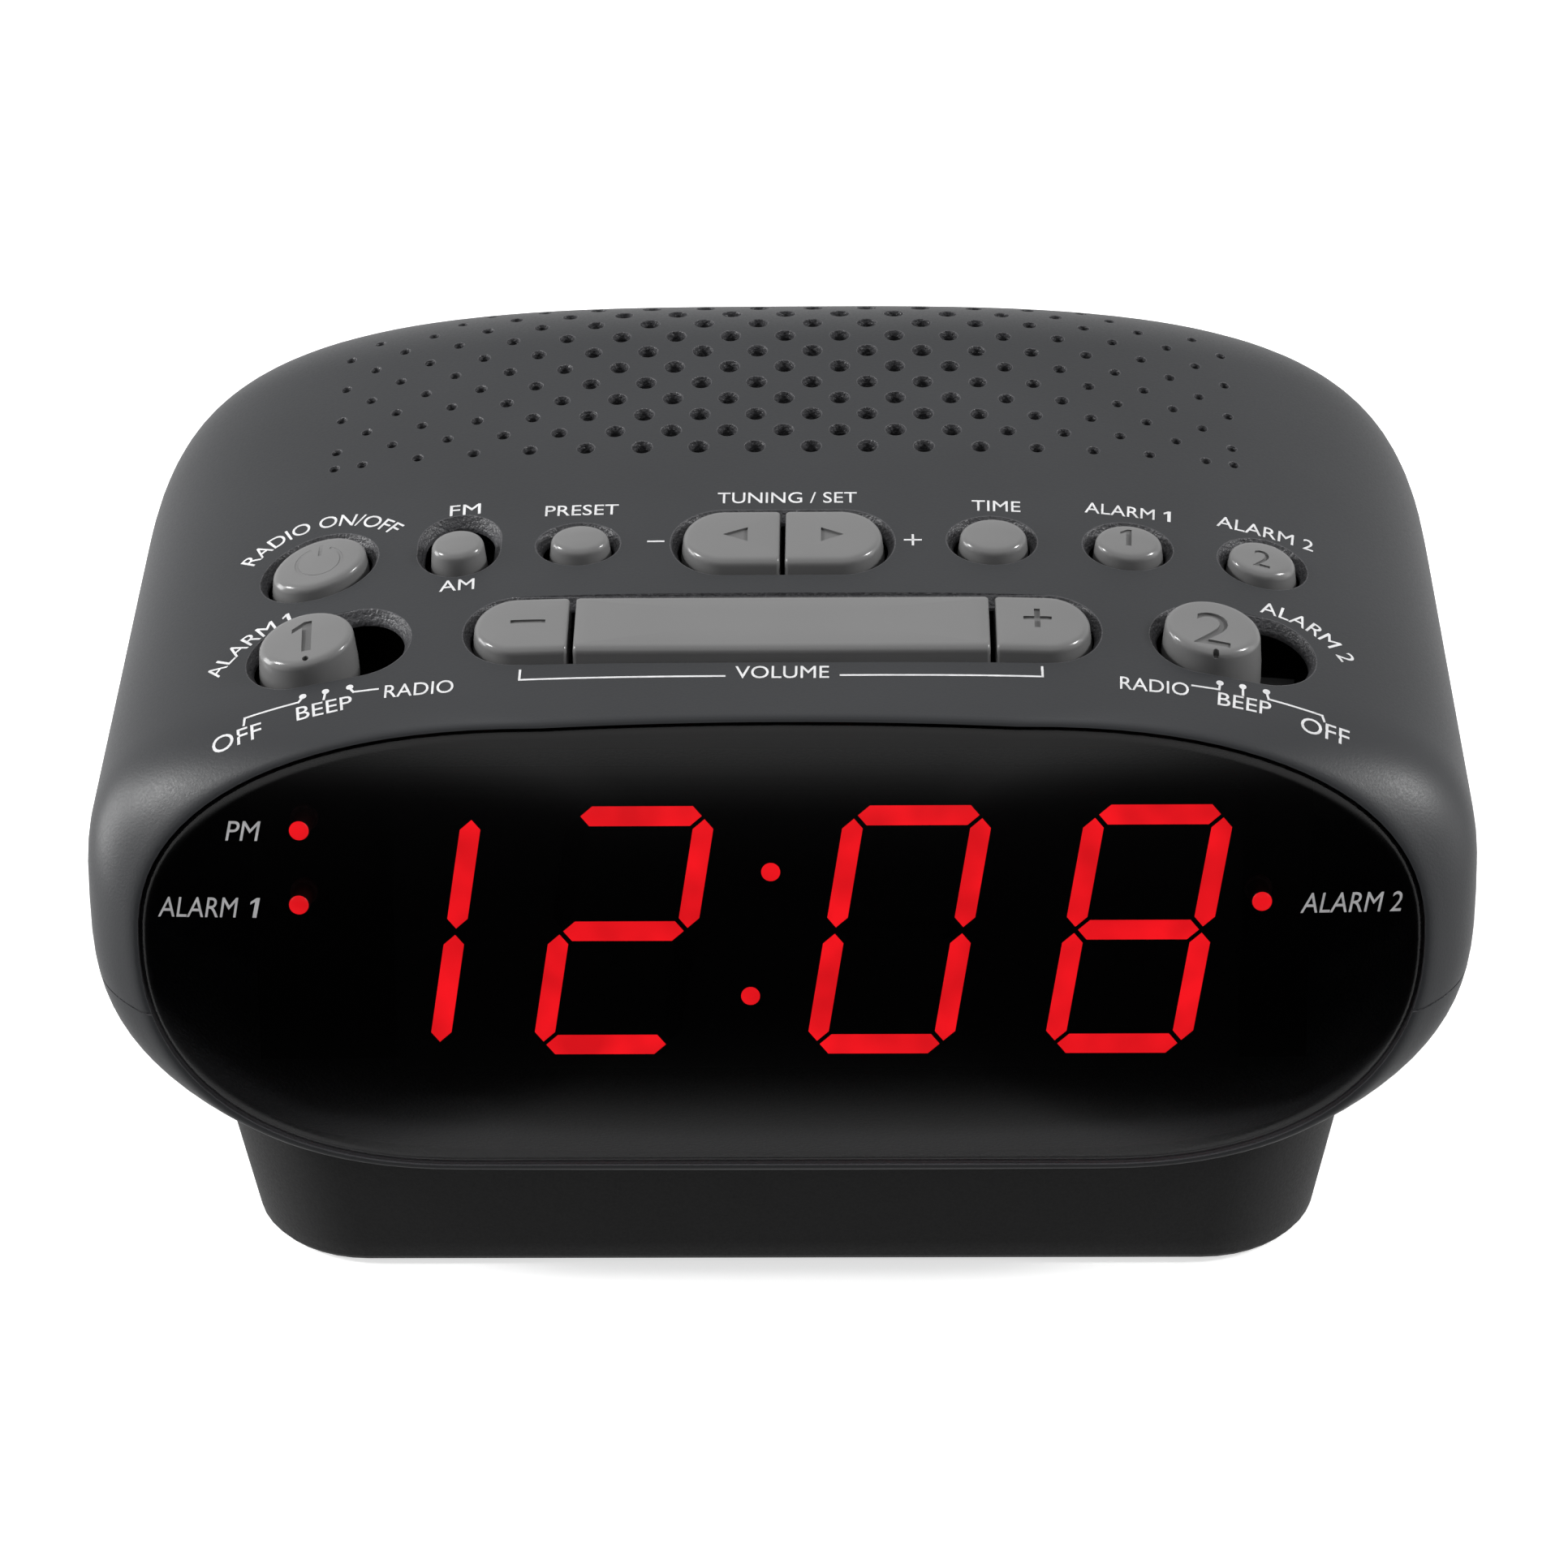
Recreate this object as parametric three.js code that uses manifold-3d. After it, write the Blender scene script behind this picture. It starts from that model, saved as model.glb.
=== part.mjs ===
// Clock radio: an oval two-part housing on a pedestal, with a smoked front lens over a red digit
// module, push buttons and slide knobs on top, a speaker under a hole grille and a battery bay
// underneath.
// Millimetres, +Z up, +X to the right of the display, +Y to the rear. The origin is on the table,
// under the centre of the radio.
import * as THREE from "three";
import { mergeVertices } from "three/addons/utils/BufferGeometryUtils.js";
import Module from "manifold-3d";

const wasm = await Module();
wasm.setup();

// ---- Driving dimensions -------------------------------------------------------------------------

const DEG = Math.PI / 180;
const WALL = 2.2;
const GAP = 0.3;

// The front face is a plane that leans back. Lengths of the lens are measured in that plane.
const FRONT = { y: -57.3, z: 53.8, lean: 16 * DEG };
// Its round shoulders end at a share of the half width, and the top then rises to the middle by a share
// of its height.
const LENS = {
  halfWidth: 87.15,
  rise: 30.5,
  drop: 32.2,
  topShoulder: 0.365,
  bottomShoulder: 0.494,
  shoulderPower: 2.3,
  topCrown: 0.025,
  thickness: 2.4,
};
const RIM = 1.0;

// The housing is a row of upright sections. Depths are measured back from the front plane.
const BODY = {
  halfWidth: 95.8,
  rise: 30.1,
  riseSlope: 0.039,
  drop: 36,
  axisSlope: 0.092,
  flareDepth: 16,
  leanDepth: 66,
  topPower: 3.17,
  bottomPower: 3.0,
  end: 130.8,
  planRoll: 75.4,
  planPower: 3.1,
  sideRoll: 96.9,
  sidePower: 1.957,
  rear: 122.6,
};
const SEAM = { z: 44.2, slope: 0.105, gap: 0.3 };

// The pedestal's half width is at the table, and its sides spread outward by the draft as they rise.
const PEDESTAL = {
  halfWidth: 75.9,
  front: -59.5,
  rear: 50,
  corner: 17,
  foot: 0.4,
  footBevel: 0.8,
  top: 42,
  draft: 0.17,
  floor: 2.5,
};
const FOOT = { radius: 6, height: 1.2, frontX: 58, rearX: 46, front: -43, rear: 38 };

// The control deck is the plane of the top surface along the middle of the radio.
const DECK = { z: 91, slope: Math.atan(0.131) };
const BOARD = { level: -15, thickness: 1.6, front: -36, rear: -3, halfLength: 76, postY: -20.2 };
const BOARD_POSTS = [-46, -19, 20, 46];
const SWITCH = { side: 6, body: 2.5, plunger: 0.6 };
const BUTTON = {
  proud: 1.3,
  bevel: 0.8,
  flangeTop: -3.1,
  flange: 1.2,
  flangeThickness: 1.2,
  stem: 1.9,
};
const BUTTON_TRAVEL = 0.8;
const STEM_END = BOARD.level + SWITCH.body + SWITCH.plunger + BUTTON_TRAVEL + GAP;

const BAR = { x: 0.3, y: -29.6, length: 85.4, width: 12.6, snooze: 57.2, gap: 0.6 };
const TUNING = { x: 0.2, y: -10.4, length: 28.8, width: 12.8, gap: 0.5 };
const BAND = { x: -45.4, y: -9.7, length: 8.2, width: 7.4, travel: 4, proud: 2.2 };
const SLIDER = {
  x: 62.2,
  y: -30.5,
  turn: 7 * DEG,
  length: 14,
  width: 12.6,
  travel: 6.2,
  rest: -2.9,
  proud: 2.7,
};
const SLIDE_SWITCH = {
  length: 17,
  width: 7,
  height: 4,
  slotWidth: 2.4,
  slotDepth: 2.8,
  tongue: 1.6,
  tongueLength: 2.2,
};

const GRILLE = {
  rows: 11,
  firstRow: 12.35,
  rowPitch: 4.08,
  pitch: 8.15,
  lastColumn: 16,
  narrowLastColumn: 12,
  largeHole: 1.5,
  smallHole: 0.7,
};

const DIGIT = { height: 35.6, width: 20.2, segment: 2.8, slant: 9.3 * DEG, gap: 0.45, pocket: 0.6 };
const DIGIT_CENTRES = [-53.2, -21.5, 16.2, 48.9];
const COLON = { x: -2.65, upper: 8.4, lower: -9.4, radius: 1.3 };
const MODULE_BOX = { left: -53, right: 62.9, bottom: -20, top: 20, front: -4.5, back: -11.5 };
const DISPLAY_BOARD = { halfLength: 73, bottom: -21, top: 21, front: -11.8, thickness: 1.6 };
const INDICATORS = { pm_led: [-65.5, 14.4], alarm1_led: [-65.9, 3.8], alarm2_led: [65.7, 3.9] };
const LED_RADIUS = 1.5;

const SPEAKER = { y: 31, radius: 28.5, flangeTop: 85, depth: 15, ringWall: 1.6, ringGap: 0.8 };
const MAIN_BOARD = { halfLength: 49, front: -42, rear: 2, z: 30, thickness: 1.6 };
const TRANSFORMER = { x: -30, y: 36, z: 33, length: 34, width: 24, height: 25, flange: 4 };
const FERRITE = {
  x: 79,
  z: 52,
  front: -18,
  rear: 34,
  radius: 4,
  coilRadius: 6.2,
  coilFront: 0,
  coilRear: 16,
};
const SCREW = {
  x: 58,
  front: -28,
  rear: 36,
  head: 3.4,
  headHeight: 2.2,
  shank: 1.5,
  length: 14,
  boss: 5,
};
const FRONT_SEAT = 9;
const REAR_SEAT = 38;
const GLAND = { x: -40, z: 51.6, flange: 5, barrel: 3.7, bore: 2.1, proud: 1.2 };

// The battery bay opens downward through the pedestal floor, and the door turns on its rear edge.
const BAY = { left: -30, right: 28, front: 5, rear: 34.5, top: 21.4, wall: 1.8 };
const DOOR = { bottom: 0.7, thickness: 2, pin: 0.7, pinReach: 1.2, pinEndGap: 0.2 };

// ---- Solids and meshes --------------------------------------------------------------------------

const radio = new THREE.Group();
const deck = new THREE.Group();
deck.position.set(0, 0, DECK.z);
deck.rotation.x = DECK.slope;
const face = new THREE.Group();
face.position.set(0, FRONT.y, FRONT.z);
face.rotation.x = Math.PI / 2 - FRONT.lean;
radio.add(deck, face);
radio.updateMatrixWorld(true);

const plastic = (color, roughness = 0.6) => () => new THREE.MeshStandardMaterial({ color, roughness });
const metal = (color, roughness = 0.35) => () =>
  new THREE.MeshStandardMaterial({ color, roughness, metalness: 1 });
const housingGrey = plastic(0x404143, 0.6);
const pedestalBlack = plastic(0x19191a, 0.65);
const buttonGrey = plastic(0x7d7d7d, 0.4);
const smoked = plastic(0x060607, 0.08);
const moduleBlack = plastic(0x141415, 0.5);
const litRed = plastic(0xf0141f, 0.3);
const boardGreen = plastic(0x1d5a34, 0.5);
const boardTan = plastic(0xa98a55, 0.6);
const partBlack = plastic(0x1b1b1c, 0.5);
const rubberBlack = plastic(0x121212, 0.9);
const paperBlack = plastic(0x2a2826, 0.9);
const ferriteGrey = plastic(0x3c3b3d, 0.7);
const steel = metal(0xb9bbbe);
const laminations = metal(0x6f7276, 0.5);
const copper = metal(0xb56a3a, 0.4);

// A closed solid through rings of matching points, listed along the way, each turning right-handed.
function loft(rings) {
  const positions = [];
  const triangles = [];
  const count = rings[0].length;
  const ringStart = (k) => k * count;
  rings.forEach((ring) => ring.forEach((p) => positions.push(p.x, p.y, p.z)));
  for (let k = 0; k + 1 < rings.length; k++) {
    for (let i = 0; i < count; i++) {
      const next = (i + 1) % count;
      const [a, b] = [ringStart(k) + i, ringStart(k) + next];
      const [c, d] = [ringStart(k + 1) + next, ringStart(k + 1) + i];
      triangles.push(a, b, c, a, c, d);
    }
  }
  const cap = (k, flip) => {
    const centre = positions.length / 3;
    const middle = rings[k].reduce((sum, p) => sum.add(p), new THREE.Vector3()).divideScalar(count);
    positions.push(middle.x, middle.y, middle.z);
    for (let i = 0; i < count; i++) {
      const pair = [ringStart(k) + i, ringStart(k) + ((i + 1) % count)];
      if (flip) pair.reverse();
      triangles.push(centre, ...pair);
    }
  };
  cap(0, true);
  cap(rings.length - 1, false);
  const geometry = new THREE.BufferGeometry();
  geometry.setAttribute("position", new THREE.Float32BufferAttribute(positions, 3));
  return geometry.setIndex(triangles);
}

// A manifold-3d solid of a closed geometry, moved by a matrix where one is given.
function solid(geometry, matrix = new THREE.Matrix4()) {
  const bare = new THREE.BufferGeometry();
  bare.setAttribute("position", geometry.getAttribute("position").clone());
  if (geometry.index) bare.setIndex(geometry.index.clone());
  const merged = mergeVertices(bare.applyMatrix4(matrix), 1e-4);
  return new wasm.Manifold(
    new wasm.Mesh({
      numProp: 3,
      vertProperties: merged.getAttribute("position").array,
      triVerts: new Uint32Array(merged.index.array),
    }),
  );
}

const join = (first, ...others) => others.reduce((whole, other) => whole.add(other), first);
const cut = (first, ...others) => others.reduce((whole, other) => whole.subtract(other), first);

function geometryOf(shape) {
  const mesh = shape.getMesh();
  const positions = new Float32Array(mesh.numVert * 3);
  for (let i = 0; i < mesh.numVert; i++) {
    positions.set(mesh.vertProperties.subarray(i * mesh.numProp, i * mesh.numProp + 3), i * 3);
  }
  const geometry = new THREE.BufferGeometry();
  geometry.setAttribute("position", new THREE.BufferAttribute(positions, 3));
  return geometry.setIndex(new THREE.BufferAttribute(mesh.triVerts.slice(), 1));
}

function add(parent, name, shape, material) {
  const geometry = shape.isBufferGeometry ? shape : geometryOf(shape);
  const mesh = new THREE.Mesh(geometry, material());
  mesh.name = name;
  parent.add(mesh);
  return mesh;
}

function box(x0, x1, y0, y1, z0, z1) {
  const geometry = new THREE.BoxGeometry(x1 - x0, y1 - y0, z1 - z0);
  return geometry.translate((x0 + x1) / 2, (y0 + y1) / 2, (z0 + z1) / 2);
}

// An upright round rod. Its flats face the axes when it has four or eight sides.
function rod(x, y, radius, z0, z1, sides = 16) {
  const geometry = new THREE.CylinderGeometry(radius, radius, z1 - z0, sides);
  return geometry.rotateX(Math.PI / 2).translate(x, y, (z0 + z1) / 2);
}

// A turned piece on the Z axis, from a profile of [radius, height] points that goes up the outside.
function turned(profile, sides = 16) {
  const points = profile.map(([radius, height]) => new THREE.Vector2(radius, height));
  return new THREE.LatheGeometry(points, sides).rotateX(Math.PI / 2);
}

const boxSolid = (...sizes) => solid(box(...sizes));
const rodSolid = (...sizes) => solid(rod(...sizes));

// ---- Housing shape ------------------------------------------------------------------------------

const QUARTER = 8;
const SHOULDER = 6;

// A quarter outline from the side at (1, 0) to the top centre at (0, 1): a round shoulder up to a place,
// then a run to the centre that rises by the crown.
function shoulderQuarter(place, crown) {
  return Array.from({ length: QUARTER + 1 }, (_, i) => {
    const angle = (Math.min(i / SHOULDER, 1) * Math.PI) / 2;
    const run = (QUARTER - i) / (QUARTER - SHOULDER);
    if (i >= SHOULDER) return [place * run, 1 - crown * run ** 2];
    const x = place + (1 - place) * Math.cos(angle) ** (2 / LENS.shoulderPower);
    return [x, (1 - crown) * Math.sin(angle) ** (2 / LENS.shoulderPower)];
  });
}

// The same quarter as a superellipse.
function superQuarter(power) {
  return Array.from({ length: QUARTER + 1 }, (_, i) => {
    const angle = ((i / QUARTER) * Math.PI) / 2;
    return [Math.abs(Math.cos(angle)) ** (2 / power), Math.sin(angle) ** (2 / power)];
  });
}

function blendQuarters(first, second, share) {
  return first.map(([x, h], i) => [
    THREE.MathUtils.lerp(x, second[i][0], share),
    THREE.MathUtils.lerp(h, second[i][1], share),
  ]);
}

// Joins an upper and a lower quarter into a whole outline of [x, height] pairs.
function wholeOutline(upper, lower, halfWidth, rise, drop) {
  const top = upper.map(([x, h]) => [x * halfWidth, h * rise]);
  const bottom = lower.map(([x, h]) => [x * halfWidth, -h * drop]);
  const mirrored = (points) => points.map(([x, h]) => [-x, h]);
  return [
    ...top,
    ...mirrored(top).reverse().slice(1),
    ...mirrored(bottom).slice(1),
    ...bottom.reverse().slice(1, -1),
  ];
}

const lensTop = shoulderQuarter(LENS.topShoulder, LENS.topCrown);
const lensBottom = shoulderQuarter(LENS.bottomShoulder, 0);

const rollOff = (depth, start, end, power) =>
  (1 - Math.max(0, (depth - start) / (end - start)) ** power) ** (1 / power);

// One upright section of the housing at a depth behind the front plane, drawn in by an inset.
function section(depth, inset) {
  const flare = 1 - Math.max(0, 1 - Math.max(depth, 0) / BODY.flareDepth) ** 3;
  const end = BODY.end - inset;
  const plan = rollOff(depth, BODY.planRoll, end, BODY.planPower);
  const side = rollOff(depth, BODY.sideRoll, end, BODY.sidePower);
  const upright = Math.cos(FRONT.lean);
  const frontWidth = LENS.halfWidth + RIM;
  const halfWidth = THREE.MathUtils.lerp(frontWidth, BODY.halfWidth, flare) * plan - inset;
  const frontRise = (LENS.rise + RIM) * upright;
  const fullRise = THREE.MathUtils.lerp(frontRise, BODY.rise, flare) + BODY.riseSlope * depth;
  const rise = fullRise * side - inset;
  const frontDrop = (LENS.drop + RIM) * upright;
  const drop = THREE.MathUtils.lerp(frontDrop, BODY.drop, flare) * side - inset;
  const upper = blendQuarters(lensTop, superQuarter(BODY.topPower), flare);
  const lower = blendQuarters(lensBottom, superQuarter(BODY.bottomPower), flare);
  const lean = FRONT.lean * THREE.MathUtils.clamp(1 - depth / BODY.leanDepth, 0, 1);
  const axis = FRONT.z + BODY.axisSlope * depth;
  return wholeOutline(upper, lower, halfWidth, rise, drop).map(
    ([x, h]) => new THREE.Vector3(x, FRONT.y + depth + h * Math.tan(lean), axis + h),
  );
}

const DEPTHS = [0, 2, 5, 9, 16, 36, 56, 76, 92, 104, 112, 118.5];

// The housing as one closed solid, with its sections drawn in by an inset at the sides and the rear.
function housingSolid(inset, firstDepth) {
  const depths = [firstDepth, ...DEPTHS.slice(1), BODY.rear - inset];
  return solid(loft(depths.reverse().map((depth) => section(depth, inset))));
}

// The lens outline grown by an amount, in the front plane.
function lensOutline(grow, level) {
  const { halfWidth, rise, drop } = LENS;
  const pairs = wholeOutline(lensTop, lensBottom, halfWidth + grow, rise + grow, drop + grow);
  return pairs.map(([x, s]) => new THREE.Vector3(x, s, level));
}

// How far the top surface has fallen below the deck plane at a distance from the middle.
function crossFall(x) {
  const rise = BODY.rise + BODY.riseSlope * 40;
  return rise * (1 - (1 - Math.abs(x / BODY.halfWidth) ** BODY.topPower) ** (1 / BODY.topPower));
}

// A block that holds everything above the seam plane, raised by an amount.
function aboveSeam(raise) {
  const turn = new THREE.Matrix4().makeRotationX(Math.atan(SEAM.slope));
  turn.setPosition(0, FRONT.y, SEAM.z + raise);
  return solid(box(-120, 120, -60, 200, 0, 120), turn);
}

// ---- Control outlines on the deck ---------------------------------------------------------------

const CORNER_STEPS = 3;

// The sides, along X and Y, of a rectangle's four corners, in turning order.
const CORNER_SIDES = [
  [1, -1],
  [1, 1],
  [-1, 1],
  [-1, -1],
];

// An outline with four elliptical corners. A side's round is the length that its corners take up.
function outline({ x = 0, y = 0, length, width, left, right, turn = 0, grow = 0 }) {
  const halfLength = length / 2 + grow;
  const halfWidth = width / 2 + grow;
  return CORNER_SIDES.flatMap(([sideX, sideY], quarter) => {
    const round = sideX > 0 ? right : left;
    const radiusX = round + (round > 1 ? grow : 0);
    const radiusY = round > 1 ? halfWidth : round;
    return Array.from({ length: CORNER_STEPS }, (_, k) => {
      const angle = (quarter - 1 + (k + 0.5) / CORNER_STEPS) * (Math.PI / 2);
      const px = sideX * (halfLength - radiusX) + radiusX * Math.cos(angle);
      const py = sideY * (halfWidth - radiusY) + radiusY * Math.sin(angle);
      return new THREE.Vector3(
        x + px * Math.cos(turn) - py * Math.sin(turn),
        y + px * Math.sin(turn) + py * Math.cos(turn),
        0,
      );
    });
  });
}

const SQUARE = 0.6;

// An outline whose two ends are round over a length: half its length for an oval, half its width for
// a pill.
function rounded(x, y, length, width, turn, round) {
  return { x, y, length, width, left: round, right: round, turn };
}
const oval = (x, y, length, width, turn = 0) => rounded(x, y, length, width, turn, length / 2);
const pill = (x, y, length, width, turn = 0) => rounded(x, y, length, width, turn, width / 2);

// One piece of a bar that is split crosswise, from one end to the other along X.
function barPiece(bar, from, to, left, right) {
  return { x: (from + to) / 2, y: bar.y, length: to - from, width: bar.width, left, right };
}

const barRound = BAR.width / 2;
const snoozeFrom = BAR.x - BAR.snooze / 2;
const snoozeTo = BAR.x + BAR.snooze / 2;
const volumeFrom = BAR.x - BAR.length / 2;
const volumeTo = BAR.x + BAR.length / 2;
const tuningRound = TUNING.width / 2;

const BUTTONS = {
  radio_button: oval(-65.1, -11.9, 14.4, 11.8, 25 * DEG),
  preset_button: oval(-28.3, -10.5, 9, 7.4),
  tuning_down_button: barPiece(
    TUNING,
    TUNING.x - TUNING.length / 2,
    TUNING.x - TUNING.gap / 2,
    tuningRound,
    SQUARE,
  ),
  tuning_up_button: barPiece(
    TUNING,
    TUNING.x + TUNING.gap / 2,
    TUNING.x + TUNING.length / 2,
    SQUARE,
    tuningRound,
  ),
  time_button: oval(29.8, -10.1, 10.2, 8.8),
  alarm1_button: oval(48.8, -10.4, 10.2, 8.6),
  alarm2_button: oval(67.6, -11.2, 10.2, 8.8),
  volume_down_button: barPiece(BAR, volumeFrom, snoozeFrom - BAR.gap, barRound, SQUARE),
  snooze_bar: barPiece(BAR, snoozeFrom, snoozeTo, SQUARE, SQUARE),
  volume_up_button: barPiece(BAR, snoozeTo + BAR.gap, volumeTo, SQUARE, barRound),
};

const APERTURES = [
  oval(-65.2, -11.6, 17, 14.2, 25 * DEG),
  oval(-28.6, -10.4, 11.8, 9.6),
  pill(TUNING.x, TUNING.y, TUNING.length + 2.6, TUNING.width + 2),
  oval(29.6, -9.9, 12.6, 11),
  oval(48.7, -10.2, 12.6, 10.8),
  oval(67.7, -11, 12.6, 11.3),
  pill(BAR.x, BAR.y, BAR.length + 2.2, BAR.width + 2),
  pill(BAND.x, BAND.y, 14, 11.6, Math.PI / 2),
  pill(-SLIDER.x, SLIDER.y, 22.8, 14.6, SLIDER.turn),
  pill(SLIDER.x, SLIDER.y, 22.8, 14.6, -SLIDER.turn),
];

// ---- Housing halves, pedestal and lens ----------------------------------------------------------

const PEDESTAL_STEPS = 5;

// All grille holes as one geometry of upright prisms that don't touch. The holes are staggered, but
// for one more at each end of the front row, and they get smaller towards the ends.
function grilleHoles() {
  const positions = [];
  for (let row = 0; row < GRILLE.rows; row++) {
    const last = row < GRILLE.rows - 2 ? GRILLE.lastColumn : GRILLE.narrowLastColumn;
    for (let column = -last; column <= last; column++) {
      const reach = Math.abs(column);
      const endHole = row === 0 && reach === last;
      if ((column + row) % 2 === 0 && !endHole) continue;
      const share = THREE.MathUtils.smoothstep(reach, 4, 13);
      const radius = THREE.MathUtils.lerp(GRILLE.largeHole, GRILLE.smallHole, share);
      const y = GRILLE.firstRow + row * GRILLE.rowPitch;
      const hole = rod((column * GRILLE.pitch) / 2, y, radius, 76, 102, 4).toNonIndexed();
      positions.push(...hole.getAttribute("position").array);
    }
  }
  const geometry = new THREE.BufferGeometry();
  geometry.setAttribute("position", new THREE.Float32BufferAttribute(positions, 3));
  return solid(geometry);
}

// A straight-sided opening through the top surface, square to the deck.
const APERTURE_BOTTOM = -13;
const ABOVE_TOP = 8;

function apertureSolid(shape) {
  const at = (level) => outline(shape).map((p) => p.setZ(level));
  return solid(loft([at(APERTURE_BOTTOM), at(ABOVE_TOP)]), deck.matrixWorld);
}

function lensRecess() {
  const back = -LENS.thickness - GAP;
  return solid(loft([lensOutline(GAP, back), lensOutline(GAP, ABOVE_TOP)]), face.matrixWorld);
}

const housing = housingSolid(0, 0);
const housingCavity = housingSolid(WALL, -6);
const shell = cut(housing, housingCavity, lensRecess());

// The ring that holds the speaker, and the posts that hold the control board and take the rear screws.
function topFittings() {
  const ringInner = SPEAKER.radius + SPEAKER.ringGap;
  const ringFoot = SPEAKER.flangeTop - 4;
  const ring = cut(
    rodSolid(0, SPEAKER.y, ringInner + SPEAKER.ringWall, ringFoot, 110, 24),
    rodSolid(0, SPEAKER.y, ringInner, ringFoot - 4, 120, 24),
  );
  const seamAtScrew = SEAM.z + SEAM.slope * (SCREW.rear - FRONT.y) + 1;
  const columns = [-SCREW.x, SCREW.x].map((x) =>
    cut(
      rodSolid(x, SCREW.rear, SCREW.boss - 0.6, seamAtScrew, 110, 12),
      rodSolid(x, SCREW.rear, SCREW.shank + GAP, seamAtScrew - 5, REAR_SEAT + SCREW.length + 4, 8),
    ),
  );
  const boardTop = BOARD.level + GAP;
  const posts = BOARD_POSTS.map((x) =>
    solid(rod(x, BOARD.postY, 1.6, boardTop, ABOVE_TOP, 8), deck.matrixWorld),
  );
  return join(ring, ...columns, ...posts).intersect(housing);
}

const apertures = APERTURES.map(apertureSolid);
const topHalf = join(shell, topFittings()).intersect(aboveSeam(SEAM.gap / 2));
add(radio, "top_cabinet", cut(topHalf, grilleHoles(), ...apertures), housingGrey);

// The bore is the hole in the pedestal that the screw's head goes up through.
const headBore = SCREW.head + GAP;
const screwPlaces = [-SCREW.x, SCREW.x].flatMap((x) => [
  { x, y: SCREW.front, seat: FRONT_SEAT, bore: headBore },
  { x, y: SCREW.rear, seat: REAR_SEAT, bore: headBore + GAP },
]);

// Moulded bosses of the lower half: two short front ones, two tall rear ones and the board posts.
function bottomFittings() {
  const frontBosses = [-SCREW.x, SCREW.x].map((x) =>
    rodSolid(x, SCREW.front, SCREW.boss - 0.6, 10, FRONT_SEAT + SCREW.length + 4, 12),
  );
  const seamAtScrew = SEAM.z + SEAM.slope * (SCREW.rear - FRONT.y) - 1;
  const rearBosses = [-SCREW.x, SCREW.x].map((x) =>
    rodSolid(x, SCREW.rear, SCREW.boss, 20, seamAtScrew, 12),
  );
  const postX = MAIN_BOARD.halfLength - 5;
  const postY = [MAIN_BOARD.front + 5, MAIN_BOARD.rear - 5];
  const posts = [-postX, postX].flatMap((x) =>
    postY.map((y) => rodSolid(x, y, 2.5, 12, MAIN_BOARD.z - GAP, 8)),
  );
  return join(...frontBosses, ...rearBosses, ...posts).intersect(housing);
}

function bottomCuts() {
  const frontHoles = [-SCREW.x, SCREW.x].map((x) =>
    rodSolid(x, SCREW.front, SCREW.shank + GAP, 5, FRONT_SEAT + SCREW.length + 1, 8),
  );
  const rearCounterbores = [-SCREW.x, SCREW.x].map((x) =>
    rodSolid(x, SCREW.rear, headBore, 5, REAR_SEAT + GAP, 12),
  );
  const rearHoles = [-SCREW.x, SCREW.x].map((x) =>
    rodSolid(x, SCREW.rear, SCREW.shank + GAP, 5, 80, 8),
  );
  const glandHole = solid(
    new THREE.CylinderGeometry(GLAND.barrel + GAP, GLAND.barrel + GAP, 12, 16),
    new THREE.Matrix4().setPosition(GLAND.x, FRONT.y + BODY.rear, GLAND.z),
  );
  return [...frontHoles, ...rearCounterbores, ...rearHoles, glandHole];
}

const bottomHalf = cut(join(shell, bottomFittings()), aboveSeam(-SEAM.gap / 2));
add(radio, "bottom_cabinet", cut(bottomHalf, ...bottomCuts()), housingGrey);

// A level outline of the pedestal, drawn in by an inset. It widens sideways with height.
function pedestalRing(z, inset) {
  const centreY = (PEDESTAL.front + PEDESTAL.rear) / 2;
  const halfDepth = (PEDESTAL.rear - PEDESTAL.front) / 2 - inset;
  const halfWidth = PEDESTAL.halfWidth + PEDESTAL.draft * z - inset;
  const corner = PEDESTAL.corner - inset;
  const last = PEDESTAL_STEPS - 1;
  return CORNER_SIDES.flatMap(([sideX, sideY], quarter) =>
    Array.from({ length: PEDESTAL_STEPS }, (_, k) => {
      const angle = (quarter - 1 + k / last) * (Math.PI / 2);
      return new THREE.Vector3(
        sideX * (halfWidth - corner) + corner * Math.cos(angle),
        centreY + sideY * (halfDepth - corner) + corner * Math.sin(angle),
        z,
      );
    }),
  );
}

const screwBores = screwPlaces.map(({ x, y, seat, bore }) => rodSolid(x, y, bore, 0, seat + GAP, 12));

function batteryBayOuter() {
  const { left, right, front, rear, top, wall } = BAY;
  return boxSolid(left - wall, right + wall, front - wall, rear + wall, 1, top + wall);
}

// The bay's space, with the blind holes that the door's pins turn in.
function batteryBaySpace() {
  const axis = doorAxis();
  const middle = (BAY.left + BAY.right) / 2;
  const length = BAY.right - BAY.left + 2 * (DOOR.pinReach + DOOR.pinEndGap);
  const pinHoles = solid(
    new THREE.CylinderGeometry(DOOR.pin + GAP, DOOR.pin + GAP, length, 8),
    new THREE.Matrix4().makeRotationZ(Math.PI / 2).setPosition(middle, axis.y, axis.z),
  );
  return join(boxSolid(BAY.left, BAY.right, BAY.front, BAY.rear, -1, BAY.top), pinHoles);
}

function doorAxis() {
  const half = DOOR.thickness / 2;
  return { y: BAY.rear - half - GAP, z: DOOR.bottom + half };
}

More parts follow.
